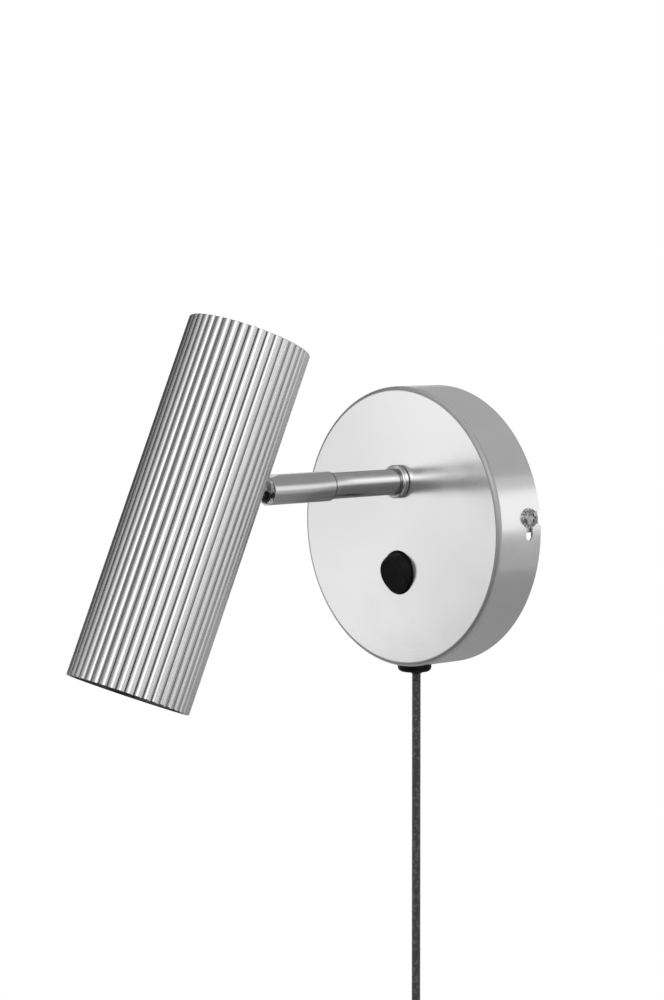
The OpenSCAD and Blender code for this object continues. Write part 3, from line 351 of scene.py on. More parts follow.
class Graph:
    """A tree of nodes with one output."""

    def __init__(self, tree, output):
        self.tree = tree
        tree.nodes.clear()
        self.output = tree.nodes.new("ShaderNode" + output)

    def feed(self, socket, value):
        """Links a socket, or sets it if the value is a plain one."""
        if isinstance(value, Sock):
            self.tree.links.new(value.socket, socket)
        else:
            socket.default_value = value

    def node(self, kind, settings=None, sockets=None, out=0):
        """Makes any node. Its settings come first, because they can change its sockets."""
        made = self.tree.nodes.new("ShaderNode" + kind)
        for key, value in (settings or {}).items():
            setattr(made, key, value)
        for key, value in (sockets or {}).items():
            self.feed(made.inputs[key], value)
        return Sock(self, made.outputs[out])

    def show(self, shader):
        self.feed(self.output.inputs["Surface"], shader)

    def glow(self, grey):
        return self.node("Emission", sockets={"Color": (grey, grey, grey, 1), "Strength": 1.0})

    def looked_at(self):
        """1 for what the camera sees, also by way of metal or glass, and 0 for light on matt things."""
        ray = self.node("LightPath", out="Is Camera Ray")
        return ray.most(ray.other("Is Glossy Ray").most(ray.other("Is Transmission Ray")))


class Finish(Graph):
    """One material: a Principled shader and the patterns that feed it."""

    def __init__(self, name, **plain):
        self.material = bpy.data.materials.new(name)
        self.material.use_nodes = True
        super().__init__(self.material.node_tree, "OutputMaterial")
        self.shader = self.node("BsdfPrincipled")
        self.show(self.shader)
        self.put(**plain)

    def put(self, **values):
        """Feeds the shader's own sockets and gives the material. An underscore stands for a space."""
        for key, value in values.items():
            self.feed(self.shader.socket.node.inputs[key.replace("_", " ")], value)
        return self.material

    def here(self):
        """The piece's own coordinates, in metres."""
        return self.node("TexCoord", out="Object")

    def split(self, vector):
        x = self.node("SeparateXYZ", sockets={0: vector})
        return x, x.other("Y"), x.other("Z")

    def uv(self):
        """The way round a piece, from 0 to 1, and the way along it, in metres."""
        return self.split(self.node("UVMap", {"uv_map": "UVMap"}))[:2]

    def join(self, x, y, z=0.0):
        return self.node("CombineXYZ", sockets={0: x, 1: y, 2: z})

    def noise(self, scale, detail=2.0, roughness=0.5, at=None):
        """Soft random values from about 0.25 to 0.75, with patches 1 / scale metres across."""
        return self.node("TexNoise", sockets={
            "Vector": at or self.here(), "Scale": scale, "Detail": detail, "Roughness": roughness})

    def blend(self, share, first, second):
        """Mixes two colours, given as grey values, colours or sockets."""
        pair = {6: first, 7: second}
        pair = {k: v if isinstance(v, (Sock, tuple)) else (v, v, v, 1) for k, v in pair.items()}
        return self.node("Mix", {"data_type": "RGBA"}, {0: share, **pair}, out=2)

    def swing(self, grey, pattern, spread):
        """A grey that swings by the spread as the pattern, whose middle is a half, swings by one."""
        return self.blend(pattern.kept(), max(grey * (1 - spread), 0), min(grey * (1 + spread), 1))

    def wear(self, colour, rough, relief, depth):
        """Feeds the colour, the gloss and a relief of that depth in metres, and gives the material."""
        bump = self.node("Bump", sockets={"Height": relief, "Distance": depth})
        return self.put(Base_Color=colour, Roughness=rough.kept(), Normal=bump)


def length(x, y):
    """The root of x * x + y * y, such as the distance from an axis."""
    return x.math("SQRT", x * x + y * y)


print("materials are written as sums of sockets")

# %% [markdown]
# ## Satin steel from a lathe
# The canopy is spun sheet steel, brushed while it turned, so its lines are circles about its axis: rings
# on the face and hoops round the rim. The arm is a drawn tube, finished the same way about its own axis.
# Noise that reads only the distance from the axis and the place along it gives such lines, and a slow cloud
# over them is the polish of a real sheet. On the canopy a fan of painted highlight turns twice round the
# axis. The canopy's front edge is duller than the rest, and its colour is darkened there as painted shade.
# Thin dark lines of painted shade stand where the sleeve meets the tube, in the collar's groove and where
# the collar meets the face.

# %% Turned steel
FADE = 0.3  # width in mm over which a zone fades out


def turned_steel(name, grey, rough, height, line=0.25, depth=0.00001, painted_sheen=0.0, metallic=1.0,
                 duller_and_shaded=(), shaded_seams=()):
    """Lines are noise of (distance from the axis, y), line mm wide, about the axis at that height. A zone
    that is duller and painted darker, as painted shade, or a thin seam line of painted shade, is a box of
    (nearest, furthest) distance from the axis and the same from the wall, in mm. The fan is a painted
    highlight: light added to the colour that turns twice round the axis."""
    finish = Finish(name, Metallic=metallic)
    x, y, z = finish.split(finish.here())
    up = z - height * MM
    reach = length(x, up)
    fine = finish.noise(1000 / line, 3.0, 0.65, finish.join(reach, y))
    cloud = finish.noise(55.0, 3.0, 0.55)
    # Painted highlight: a fan of light, added to the colour's tone, that turns twice round the axis.
    fan = (up.math("ARCTAN2", x, up) * 2.0 + 0.6).sine() * (reach * 14.0).kept()
    tone = (fine - 0.5) * 0.5 + (cloud - 0.5) * 0.35 + 0.5 + fan * painted_sheen
    across, out = reach / MM, y / -MM
    shaded_zones = []
    for boxes in (duller_and_shaded, shaded_seams):
        zone = fine * 0.0
        for near, far, low, high in boxes:
            gaps = (across - near, far - across, out - low, high - out)
            a, b, c, d = ((gap / FADE + 0.5).kept() for gap in gaps)
            zone = zone + a * b * c * d
        shaded_zones.append(zone.kept())
    # Painted shade: the duller zone's colour is darkened towards 0.10.
    base = finish.blend(shaded_zones[0] * 0.45, finish.swing(grey, tone, 0.10), 0.10)
    gloss = (fine - 0.5) * 0.10 + (cloud - 0.5) * 0.16 + shaded_zones[0] * 0.30 + rough
    # Painted shade: the seam lines are painted near black.
    return finish.wear(finish.blend(shaded_zones[1] * 0.92, base, 0.02), gloss, fine, depth)


# The canopy gets the painted highlight fan and a painted dark front edge.
CANOPY_STEEL = turned_steel("canopy_steel", 0.82, 0.19, 0.0, line=0.5, depth=0.000012, painted_sheen=0.5,
                            metallic=0.86, duller_and_shaded=[(58.2, 61, 23.2, 26)])
# The arm and the collar get thin lines of painted shade where parts meet and in the collar's groove.
ARM_STEEL = turned_steel("arm_steel", 0.66, 0.19, ARM_HEIGHT, depth=0.00002, shaded_seams=[(5, 7, 65.0, 66.0)])
COLLAR_STEEL = turned_steel("collar_steel", 0.70, 0.13, ARM_HEIGHT,
                            shaded_seams=[(5.8, 6.45, 27, 28.15), (6.8, 8, 24.8, 25.5)])
print("turned steel:", CANOPY_STEEL.name, ARM_STEEL.name, COLLAR_STEEL.name)

# %% [markdown]
# ## Reeded steel
# The shade was drawn or rolled, so its fine streaks run along the reeds. Noise on its UV map, stretched
# along the tube, draws them. The grooves get painted shade: the metal's colour is darker where the surface
# is nearer to the axis, and a little rougher there.

# %% Streaked steel of the shade, and plain steel
# Painted shade in the grooves starts at this distance from the axis, in mm, and fades in over this width.
GROOVE_SHADE_FROM, GROOVE_SHADE_FADE = 25.2, 0.5  # the distance from the axis where the dark starts, and its width


def reeded_steel(name, grey, rough):
    """Streaks are noise of (circle of the way round, way along). Grooves are painted darker with their
    depth, as painted shade.
    """
    finish = Finish(name, Metallic=1.0)
    u, v = finish.uv()
    circle = finish.join((u * 6.28318).sine() * 7.0, (u * 6.28318 + 1.5708).sine() * 7.0, v * 9.0)
    streak = finish.noise(14.0, 4.0, 0.6, circle)
    speck = finish.noise(1400.0, 2.0, 0.6)
    local = finish.node("Mapping", {"vector_type": "TEXTURE"}, {
        "Vector": finish.here(), "Location": tuple(SHADE.shift * MM),
        "Rotation": tuple(Matrix(SHADE.turn.tolist()).to_euler())})
    x, y, _ = finish.split(local)
    # Painted shade: the groove's colour is darkened with its depth.
    groove = ((GROOVE_SHADE_FROM - length(x, y) / MM) / GROOVE_SHADE_FADE).kept()
    base = finish.swing(grey, (streak - 0.5) * 0.6 + (speck - 0.5) * 0.5 + 0.5, 0.16)
    gloss = (streak - 0.5) * 0.12 + (speck - 0.5) * 0.12 + groove * 0.12 + rough
    return finish.wear(finish.blend(groove * 0.86, base, 0.03), gloss, streak * 0.7 + speck * 0.3, 0.00003)


def plain_steel(name, grey, rough, patch=900.0, depth=0.00001):
    """Small steel parts: tumbled or plated, with fine marks in no direction."""
    finish = Finish(name, Metallic=1.0)
    mark = finish.noise(patch, 3.0, 0.6)
    cloud = finish.noise(patch / 12, 2.0)
    tone = finish.swing(grey, (mark - 0.5) * 0.6 + (cloud - 0.5) * 0.8 + 0.5, 0.15)
    return finish.wear(tone, (mark - 0.5) * 0.2 + (cloud - 0.5) * 0.15 + rough, mark, depth)


SHADE_STEEL = reeded_steel("shade_steel", 0.72, 0.2)
KNUCKLE_STEEL = plain_steel("knuckle_steel", 0.80, 0.14)
SCREW_STEEL = plain_steel("screw_steel", 0.58, 0.24)
SIDE_SCREW_STEEL = plain_steel("side_screw_steel", 0.42, 0.10, patch=420.0, depth=0.0004)
ZINC = plain_steel("zinc_plate", 0.6, 0.36, patch=260.0)
PIN_METAL = plain_steel("plug_pin_metal", 0.68, 0.2)
print("steel of the shade and the small parts is ready")

# %% [markdown]
# ## Plastics, brass, glass and ceramic
# Moulded plastic is near-black or ivory, with the fine grain of its mould. The button and the gland are
# a deep black with hardly any shine. The contact bridge is brass, whose colour shifts a little where it
# has been touched. The lampholder is glazed ceramic, and the lamp has a glass lens over a bright bowl.

# %% Finishes that aren't steel
def moulded(name, colour, rough, patch=1500.0, depth=0.00002, shine=0.45):
    """Moulded plastic: the mould's grain in the bump, a slow cloud in colour and gloss."""
    finish = Finish(name, Specular_IOR_Level=shine)
    grain = finish.noise(patch, 2.0, 0.6)
    cloud = finish.noise(patch / 15, 2.0)
    low, high = (tuple(min(c * share, 1) for c in colour) + (1,) for share in (0.82, 1.22))
    tone = finish.blend(((grain - 0.5) * 0.7 + (cloud - 0.5) + 0.5).kept(), low, high)
    return finish.wear(tone, (grain - 0.5) * 0.15 + (cloud - 0.5) * 0.2 + rough, grain, depth)


def mottled(name, low, high, patch, detail, rough, spread, depth, **plain):
    """One noise moves the colour from low to high and the gloss by the spread, and is the relief."""
    finish = Finish(name, **plain)
    mark = finish.noise(patch, detail)
    return finish.wear(finish.blend(mark, (*low, 1), (*high, 1)), (mark - 0.5) * spread + rough, mark, depth)


BUTTON_BLACK = moulded("button_black", (0.006, 0.006, 0.006), 0.42, shine=0.12)
GLAND_BLACK = moulded("gland_black", (0.005, 0.005, 0.005), 0.40, shine=0.10)
CAP_BLACK = moulded("cap_black", (0.02, 0.02, 0.021), 0.5)
IVORY = moulded("white_plastic", (0.72, 0.71, 0.66), 0.4)
BROWN_WIRE = moulded("brown_wire", (0.10, 0.035, 0.015), 0.4)
BLUE_WIRE = moulded("blue_wire", (0.02, 0.10, 0.32), 0.4)
LEAD_BLACK = moulded("lead_black", (0.012, 0.012, 0.012), 0.4)
CERAMIC = moulded("lampholder_ceramic", (0.80, 0.79, 0.75), 0.22, patch=400.0, depth=0.00001)
BRASS = mottled("contact_brass", (0.62, 0.42, 0.16), (0.80, 0.58, 0.26), 600.0, 3.0, 0.3, 0.3, 0.0000001,
                Metallic=1.0)
LAMP_REFLECTOR = mottled("lamp_reflector", (0.78, 0.78, 0.80), (0.90, 0.90, 0.90), 500.0, 1.0, 0.12, 0.1,
                         0.00015, Metallic=1.0)
LAMP_GLASS = mottled("lamp_glass", (0.93, 0.96, 0.96), (1, 1, 1), 700.0, 2.0, 0.08, 0.1, 0.00008,
                     Transmission_Weight=1.0, IOR=1.48)
print("plastics, brass, ceramic, reflector and glass are ready")

# %% [markdown]
# ## Braid
# The cord is covered with braided yarn: two sets run round it in opposite directions and pass over and
# under each other. On the cord's UV map one set lies on the lines u + v and the other on u - v. Which set
# is on top changes from cell to cell, as on a chessboard. Its ridges give the bump, and a few paler yarns
# give the specks that the photograph shows.

# %% Braid of the cord
YARNS, PITCH = 8, 1.6


def braid(name, dark, pale):
    """Yarn lines: a = yarns u + v / pitch, b = yarns u - v / pitch. Which set is on top changes with the
    parity of floor a + floor b; its ridge is the sine across it."""
    finish = Finish(name, Specular_IOR_Level=0.25, Sheen_Weight=0.15, Sheen_Roughness=0.5)
    u, v = finish.uv()
    first, second = u * YARNS + v / (PITCH * MM), u * YARNS - v / (PITCH * MM)
    wave_a, wave_b = ((yarn * math.pi).sine().size() for yarn in (first, second))
    floor_a, floor_b = first.floor(), second.floor()
    top = ((floor_a + floor_b) * 0.5).part().over(0.25)
    ridge = top * wave_a + (1 - top) * wave_b
    strand = finish.noise(3.0, 2.0, at=finish.join(first * 3.0, second * 0.4, u))
    fleck = finish.noise(1.7, 0.0, at=finish.join(floor_a * 0.71, floor_b * 0.37, 3.0)).over(0.58)
    tone = (ridge * 0.55 + (strand - 0.5) * 0.5 + fleck * 0.35).kept()
    relief = ridge + (strand - 0.5) * 0.3
    return finish.wear(finish.blend(tone, dark, pale), 0.85 - ridge * 0.12, relief, 0.00022)


BRAID = braid("cord_braid", 0.004, 0.15)
print("braid with", YARNS, "yarns each way")

# %% [markdown]
# ## The cord
# The cord leaves the gland under the canopy and hangs straight down, out of the picture. Light of this
# kind has about two metres, so the unseen length is put away just below the picture: a neat coil of four
# layers with a tie round it, and the plug under it. The route is worked out whole: a straight drop, a
# gentle bend, then a spiral whose radius runs out and in by layer, while each turn back climbs one layer.

# %% Route of the cord
CORD_D, CORD_OUT, CORD_EXIT, DROP, BEND_R, BEND = 3.8, 14.2, -64.0, 146.3, 16, 60
COIL_Z, COIL_PITCH, COIL_FIRST, COIL_TURNS, STEPS = CORD_EXIT - 189, 4.3, 30.0, 292 / 24, 72
COIL_LOW_R = 45 / 2 - 3 * COIL_PITCH / 2


def coil_route(turns):
    """A point after that many turns: radius (16.05 + 4.3 x turns away from the inner end) at the angle
    30 + 360 x turns from the top, and 4.3 further from the wall for each layer climbed."""
    away = np.where(turns < 9, np.abs(3 - turns % 6), turns - 9)
    climb = sum((1 - np.cos(np.pi * np.clip((turns - back + 0.25) / 0.5, 0, 1))) / 2 for back in (3, 6, 9))
    radius = COIL_LOW_R + COIL_PITCH * away
    angle = np.radians(COIL_FIRST + 360 * turns)
    return np.stack([radius * np.sin(angle), -CORD_OUT - COIL_PITCH * climb,
                     COIL_Z + radius * np.cos(angle)], -1)


def cord_route():
    """The whole route: straight down, a bend, the coil, and a short tail to the plug."""
    drop = np.linspace(0, -DROP, 74)
    down = np.column_stack([0 * drop, 0 * drop - CORD_OUT, CORD_EXIT + drop])
    bend = np.radians(np.linspace(0, BEND, 10))[1:]
    curve = down[-1] + BEND_R * np.column_stack([1 - np.cos(bend), 0 * bend, -np.sin(bend)])
    coil = coil_route(np.linspace(0, COIL_TURNS, round(COIL_TURNS * STEPS)))
    lead = CORD_D * np.array([math.cos(math.radians(30)), 0, -math.sin(math.radians(30))])
    tail = coil[-1] - np.array([[0, 0, CORD_D / 2], [0, 0, CORD_D]])
    return np.concatenate([down, curve, [coil[0] - lead, coil[0] - lead / 2], coil, tail])


def hose(path, radius, sides, across=(0, 1, 0)):
    """Circles round a path: each point p gives p + r (cos a right - sin a top), with right and top square
    to the path's heading. The two ends are closed by a point."""
    ahead = np.gradient(path, axis=0)
    ahead /= np.linalg.norm(ahead, axis=1, keepdims=True)
    right = np.cross(ahead, across)
    right /= np.linalg.norm(right, axis=1, keepdims=True)
    top = np.cross(right, ahead)
    angle = around(sides)[None, :, None]
    radius = np.broadcast_to(radius, len(path))[:, None, None]
    rings = path[:, None] + radius * (np.cos(angle) * right[:, None] - np.sin(angle) * top[:, None])
    ends = [np.repeat(path[i][None, None], sides, 1) for i in (0, -1)]
    return np.concatenate([ends[0], rings, ends[1]])


def hose_skin(name, path, radius, sides, across=(0, 1, 0)):
    """The surface of a hose, with a UV map that knows the distance along it."""
    run = distance_along(path)
    return surface(name, hose(path, radius, sides, across), poles=(0, -1),
                   along=[0, *run * MM, run[-1] * MM], sharp=60)


def spline(points, rings):
    """A smooth curve through points, at even steps: each stretch is the cubic whose ends head along the
    line between their neighbours."""
    p = np.asarray(points, float)
    p = np.concatenate([[2 * p[0] - p[1]], p, [2 * p[-1] - p[-2]]])
    t = np.linspace(0, 1, 16, endpoint=False)[:, None, None]
    a, b, c, d = p[:-3], p[1:-2], p[2:-1], p[3:]
    curve = 0.5 * (2 * b + (c - a) * t + (2 * a - 5 * b + 4 * c - d) * t**2 + (3 * b - a - 3 * c + d) * t**3)
    curve = np.concatenate([curve.transpose(1, 0, 2).reshape(-1, 3), p[-2:-1]])
    run = distance_along(curve)
    even = np.linspace(0, run[-1], rings)
    return np.stack([np.interp(even, run, curve[:, i]) for i in range(3)], -1)


def dress(made, material, body, slot, *nodes):
    """Gives a new piece its finish and its body, and hides the nodes of the solid model that it stands for.
    """
    made.data.materials.clear()
    made.data.materials.append(material)
    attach(made, body)
    if nodes:
        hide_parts(*nodes)


ROUTE = cord_route()
cord = hose_skin("cord_braid", ROUTE, CORD_D / 2, 12)
dress(cord, BRAID, "mount", "cord_cover", "cord", "cord_coil")

# %% [markdown]
# ## The canopy
# The canopy is a round cover of 1 mm sheet, 120 mm across and 25 mm deep, with a soft front edge. It
# could be bevelled from a disc, but it was spun on a lathe, so its outline is turned here. Then its
# openings are cut: the arm's hole, the button's, the gland's, and at each side a hooked slot, which lets
# the cover be pushed over two loosened screws and turned to lock.

# %% Canopy shell with its hooked slots
EDGE, SCREW_OUT, SCREW_DROP, SLOT_HALF, SLOT_LEG, LEG_DOWN, LIP = 1.8, 6.9, 6.4, 2.7, 1.9, 7.5, 1.5
ARM_HOLE, BUTTON_HOLE, GLAND_HOLE, GLAND_OUT, STUD_X = 5.1, 9.5, 5.1, 15.3, 15


def arc_points(x, y, radius, start, end, steps):
    turn = np.radians(np.linspace(start, end, steps))
    return np.column_stack([x + radius * np.cos(turn), y + radius * np.sin(turn)])


def hooked_slot():
    """The slot's outline in (distance from the wall, up): a mouth with a round end, and a leg that falls
    from it. The lower corner of the mouth is rounded."""
    meets = -math.degrees(math.acos(SLOT_LEG / SLOT_HALF))
    return np.concatenate([
        [[-1, SLOT_HALF]], arc_points(SCREW_OUT, 0, SLOT_HALF, 90, meets, 24),
        arc_points(SCREW_OUT, -LEG_DOWN, SLOT_LEG, 0, -180, 24), [[SCREW_OUT - SLOT_LEG, -SLOT_HALF]],
        arc_points(LIP, -SLOT_HALF - LIP, LIP, 90, 180, 10), [[-1, -SLOT_HALF - LIP]]])


SCREW_LEAN = math.degrees(math.asin(SCREW_DROP / CANOPY_R))
SIDES = [ROOM.inside(about("Y", side - SCREW_LEAN)) for side in (0, 180)]
# In a slot's own place x is the way out from the wall, y is up and z is the canopy's radius.
SLOT_TURN = [[0, 0, 1], [-1, 0, 0], [0, 1, 0]]
canopy = turned("canopy_shell", eased([
    (0, FACE, 0), (CANOPY_R - WALL, FACE, 0.8), (CANOPY_R - WALL, 0, 0.2), (CANOPY_R, 0, 0.3),
    (CANOPY_R, CANOPY_DEPTH, EDGE), (0, CANOPY_DEPTH, 0)], 7), CANOPY, sides=256)
cut(canopy,
    prism(disc(ARM_HOLE, 0, ARM_HEIGHT), FACE - 2, CANOPY_DEPTH + 2, CANOPY),
    prism(disc(BUTTON_HOLE, 0, BUTTON_HEIGHT), FACE - 2, CANOPY_DEPTH + 2, CANOPY),
    prism(disc(GLAND_HOLE, 0, -GLAND_OUT, 64), -CANOPY_R - 3, -CANOPY_R + 4, ROOM),
    *[prism(hooked_slot(), CANOPY_R - 3, CANOPY_R + 2, side.inside(SLOT_TURN)) for side in SIDES])
dress(canopy, CANOPY_STEEL, "mount", "satin_steel", "canopy_cover")
for name, radius, low, at in [
        ("switch_studs", 1.25, 17.5, ((STUD_X, BUTTON_HEIGHT, 0), (-STUD_X, BUTTON_HEIGHT, 0))),
        ("block_stud", 1.5, 7.8, ((-33, -16, 0),))]:
    bevel = radius / 5
    stud = turned(name, [(0, low), (radius - bevel, low), (radius, low + bevel), (radius, FACE + 0.4),
                         (0, FACE + 0.4)], CANOPY, 24, at)
    dress(stud, ZINC, "mount", "satin_steel")
print("canopy:", len(canopy.data.polygons), "faces after the cuts")

# %% [markdown]
# ## The arm
# A collar sits on the canopy where the arm leaves it. It has a bright rounded lip and a fine groove round
# the tube. The tube ends in a narrower neck inside the sleeve, and the sleeve turns on it. The sleeve's
# end has a small flat on top, which lets the shade swing up level: it is cut with a slanted prism.

# %% Collar, tube and sleeve
TUBE_R, SLEEVE_R, BORE_R, NECK_R, TUBE_BORE, COLLAR_R, COLLAR_H = 5.5, 6.25, 5.55, 4.6, 3.6, 7.1, 3.3
SLEEVE_START, SLEEVE_END, NECK_FROM, NECK_TO = 65.5, 99.4, 75.2, 81.2

collar = turned("collar_ring", eased([
    (BORE_R, 0, 0.1), (COLLAR_R, 0, 0.15), (COLLAR_R, COLLAR_H, 0.9), (6.35, COLLAR_H, 0.12), (6.35, 2.4, 0),
    (5.9, 2.4, 0), (5.9, COLLAR_H, 0.12), (BORE_R, COLLAR_H, 0.1)], steps=7),
    Place(ARM.turn, (0, -CANOPY_DEPTH, ARM_HEIGHT)), 128)
dress(collar, COLLAR_STEEL, "mount", "satin_steel", "arm_collar")
tube = turned("arm_post", eased([
    (TUBE_BORE, 17, 0), (5.0, 17, 0.2), (5.0, CANOPY_DEPTH, 0), (TUBE_R, CANOPY_DEPTH, 0),
    (TUBE_R, NECK_FROM, 0.15), (NECK_R, NECK_FROM, 0), (NECK_R, 78.85, 0), (4.2, 78.85, 0), (4.2, 79.75, 0),
    (NECK_R, 79.75, 0), (NECK_R, NECK_TO, 0.2), (TUBE_BORE, NECK_TO, 0.1)]), ARM)
dress(tube, ARM_STEEL, "mount", "satin_steel", "arm_tube")
sleeve = turned("sleeve_shell", eased([
    (BORE_R, SLEEVE_START, 0.12), (SLEEVE_R, SLEEVE_START, 0.2), (SLEEVE_R, SLEEVE_END, 0.25),
    (BORE_R, SLEEVE_END, 0.1), (BORE_R, 78.9, 0), (4.65, 78.9, 0), (4.65, 75.8, 0), (BORE_R, 75.8, 0)]),
    SLEEVE, 128)
FLAT = [(SLEEVE_R, 92.6), (5.39, 99.91), (8, 101), (8, 92.6)]
cut(sleeve, prism(FLAT, -8, 8, SLEEVE.inside([[0, 0, 1], [1, 0, 0], [0, 1, 0]])))
dress(sleeve, ARM_STEEL, "swivel", "satin_steel", "arm_sleeve")
print("arm: collar, tube and sleeve, which reaches", SLEEVE_END - CANOPY_DEPTH, "mm from the canopy's face")

# %% [markdown]
# ## The shade
# The shade is a tube with 42 reeds. In cross-section each reed is an arc of a circle of radius 2.3 mm
# whose middle lies 23.2 mm from the axis, and two reeds meet in a sharp groove. The whole skin is one
# grid: the columns go round the reeds, and the rows go up the outside, over the top rim, down the bore
# and back under the mouth. Both rims have a fine bright chamfer.

# %% Reeded shade
REEDS, REED_R, REED_RING, BORE, RIM, INNER_RIM = 42, 2.3, 23.2, 23.746, 0.25, 0.15


def reeded_outline(inset=0.0, steps=12):
    """A point at angle b on the arc of reed k is ring (sin a, cos a) + reed (sin (a + b), cos (a + b)),
    where a = 360 k / 42. The arc ends where it meets the next reed. The inset moves points inwards."""
    half = math.pi / REEDS
    reach = math.asin(REED_RING * math.sin(half) / REED_R) + half
    turn = np.arange(REEDS)[:, None] * 2 * half
    bend = np.linspace(-reach, reach, steps, endpoint=False)[None]
    x = REED_RING * np.sin(turn) + REED_R * np.sin(turn + bend)
    y = REED_RING * np.cos(turn) + REED_R * np.cos(turn + bend)
    points = np.stack([x.ravel(), y.ravel()], -1)[::-1]
    return points * (1 - inset / np.linalg.norm(points, axis=1, keepdims=True))


REEDED, CHAMFERED = reeded_outline(), reeded_outline(RIM)
RAYS = REEDED / np.linalg.norm(REEDED, axis=1, keepdims=True)
rows = [(REEDED, SHADE_LOW + RIM), (REEDED, -60.0), (REEDED, -23.0), (REEDED, 15.0),
        (REEDED, SHADE_TOP - RIM), (CHAMFERED, SHADE_TOP), (RAYS * (BORE + INNER_RIM), SHADE_TOP),
        (RAYS * BORE, SHADE_TOP - INNER_RIM), (RAYS * BORE, SHADE_LOW + INNER_RIM),
        (RAYS * (BORE + INNER_RIM), SHADE_LOW), (CHAMFERED, SHADE_LOW)]
shade_grid = np.stack([np.column_stack([outline, np.full(len(outline), z)]) for outline, z in rows])
shade_run = np.concatenate([[0], np.cumsum(np.abs(np.diff([z for _, z in rows])) + 0.3), [320]])
shade = surface("shade_shell", shade_grid, SHADE, loop=True, along=shade_run * MM, sharp=30)
# In this place z points from the shade to the arm, and y is down the shade.
to_arm = SHADE.inside([[1, 0, 0], [0, 0, 1], [0, -1, 0]])
cut(shade, prism(disc(2.1, 0, 0, 32), 20, 27, to_arm), prism(disc(1.8, 0, 8.6, 32), 20, 27, to_arm))
dress(shade, SHADE_STEEL, "head", "shade_steel", "shade_tube")
print("shade:", REEDS, "reeds,", len(shade.data.vertices), "points, groove radius",
      round(float(np.linalg.norm(REEDED, axis=1).min()), 2), "mm")

# %% [markdown]
# ## The button
# The button is part of a ball with a flat face. It rocks about a pin in the switch, so its flank always
# fills the round hole. Its face leans, because one side is pressed. The turned outline is the ball's
# arc, an eased edge and the flat face with a shallow dish. Its pin and tail sit inside the switch.

# %% Push button
BALL_R, BACK_CUT, PIN_HALF = 8.8, 4, 9.25
flank = np.radians(np.linspace(-math.degrees(math.asin(BACK_CUT / BALL_R)), 27.6, 24))
button_outline = np.concatenate([
    [[0, -BACK_CUT], [6.6, -BACK_CUT], [7.5, -BACK_CUT]],
    np.column_stack([BALL_R * np.cos(flank), BALL_R * np.sin(flank)]),
    [[7.73, 4.18], [7.62, 4.3], [7.46, 4.375], [7.25, 4.4], [6.6, 4.4], [6.3, 4.36], [3, 4.3], [0, 4.28]]])
button = turned("push_button", button_outline, BUTTON, 128, sharp=50)
dress(button, BUTTON_BLACK, "button", "button_black", "switch_button")
tail = turned("button_tail", eased([(0, -7.4, 0), (2, -7.4, 0.3), (2, -3.6, 0), (0, -3.6, 0)]), BUTTON, 32)
pin = turned("button_pin", eased([
    (0, -PIN_HALF, 0), (0.9, -PIN_HALF, 0.2), (0.9, PIN_HALF, 0.2), (0, PIN_HALF, 0)]),
    BUTTON.inside(about("Y", 90)), 24)
for made in (tail, pin):
    dress(made, BUTTON_BLACK, "button", "button_black")
print("button: face", button_outline[:, 1].max(), "mm in front of its pivot")

# %% [markdown]
# ## The gland and the cord's inner end
# The gland grips the cord under the canopy. Its flange is a flat disc with a round lower edge, turned
# from one outline, and the cord leaves it a little off its middle through a short tapered neck.
# The braid goes on through the gland to the clamp inside, where its end can be seen from behind.

# %% Gland and inlet
GLAND_R, GLAND_H, INLET_TOP = 7.3, 3.1, -41.0
DOWN = about("X", 180)
gland = turned("gland_flange", eased([
    (0, -7, 0), (5, -7, 0.3), (5, 0, 0), (GLAND_R, 0, 0.15), (GLAND_R, GLAND_H, 2), (0, GLAND_H, 0)],
    steps=12), Place(DOWN, (0, -GLAND_OUT, -CANOPY_R)))
dress(gland, GLAND_BLACK, "mount", "black_plastic", "cord_gland")
neck = turned("gland_neck", eased([(1.93, 4, 0.1), (1.93, 2, 0), (3.05, 2, 0), (2.4, 4, 0.2)]),
              Place(DOWN, (0, -CORD_OUT, -CANOPY_R)), 64)
dress(neck, GLAND_BLACK, "mount", "black_plastic")
climb = np.linspace(CORD_EXIT + 0.1, INLET_TOP, 24)
inlet = hose_skin("inlet_braid", np.column_stack([0 * climb, 0 * climb - CORD_OUT, climb]), CORD_D / 2, 16)
dress(inlet, BRAID, "mount", "cord_cover", "cord_inlet")
print("gland flange", 2 * GLAND_R, "mm across")

# %% [markdown]
# ## The tie and the plug
# The coil is held by a soft strap, which stays as the solid model has it, with rounded edges. The plug is
# a moulded flat one. It is a loft: a stack of cross-sections, each a rounded oblong, whose width,
# thickness and squareness change along the plug. The ribbed sleeve that guards the cord is part of it.

# %% Plug
GUARD_END, GUARD_TOP_R, GUARD_LOW_R, RIB_PITCH, PLUG_HALF, PLUG_END = 21.5, 2.25, 4.1, 2.6, 17.5, 52
PLUG_TOP = COIL_Z - CORD_D
PLUG = Place(DOWN, (*ROUTE[-1][:2], PLUG_TOP))


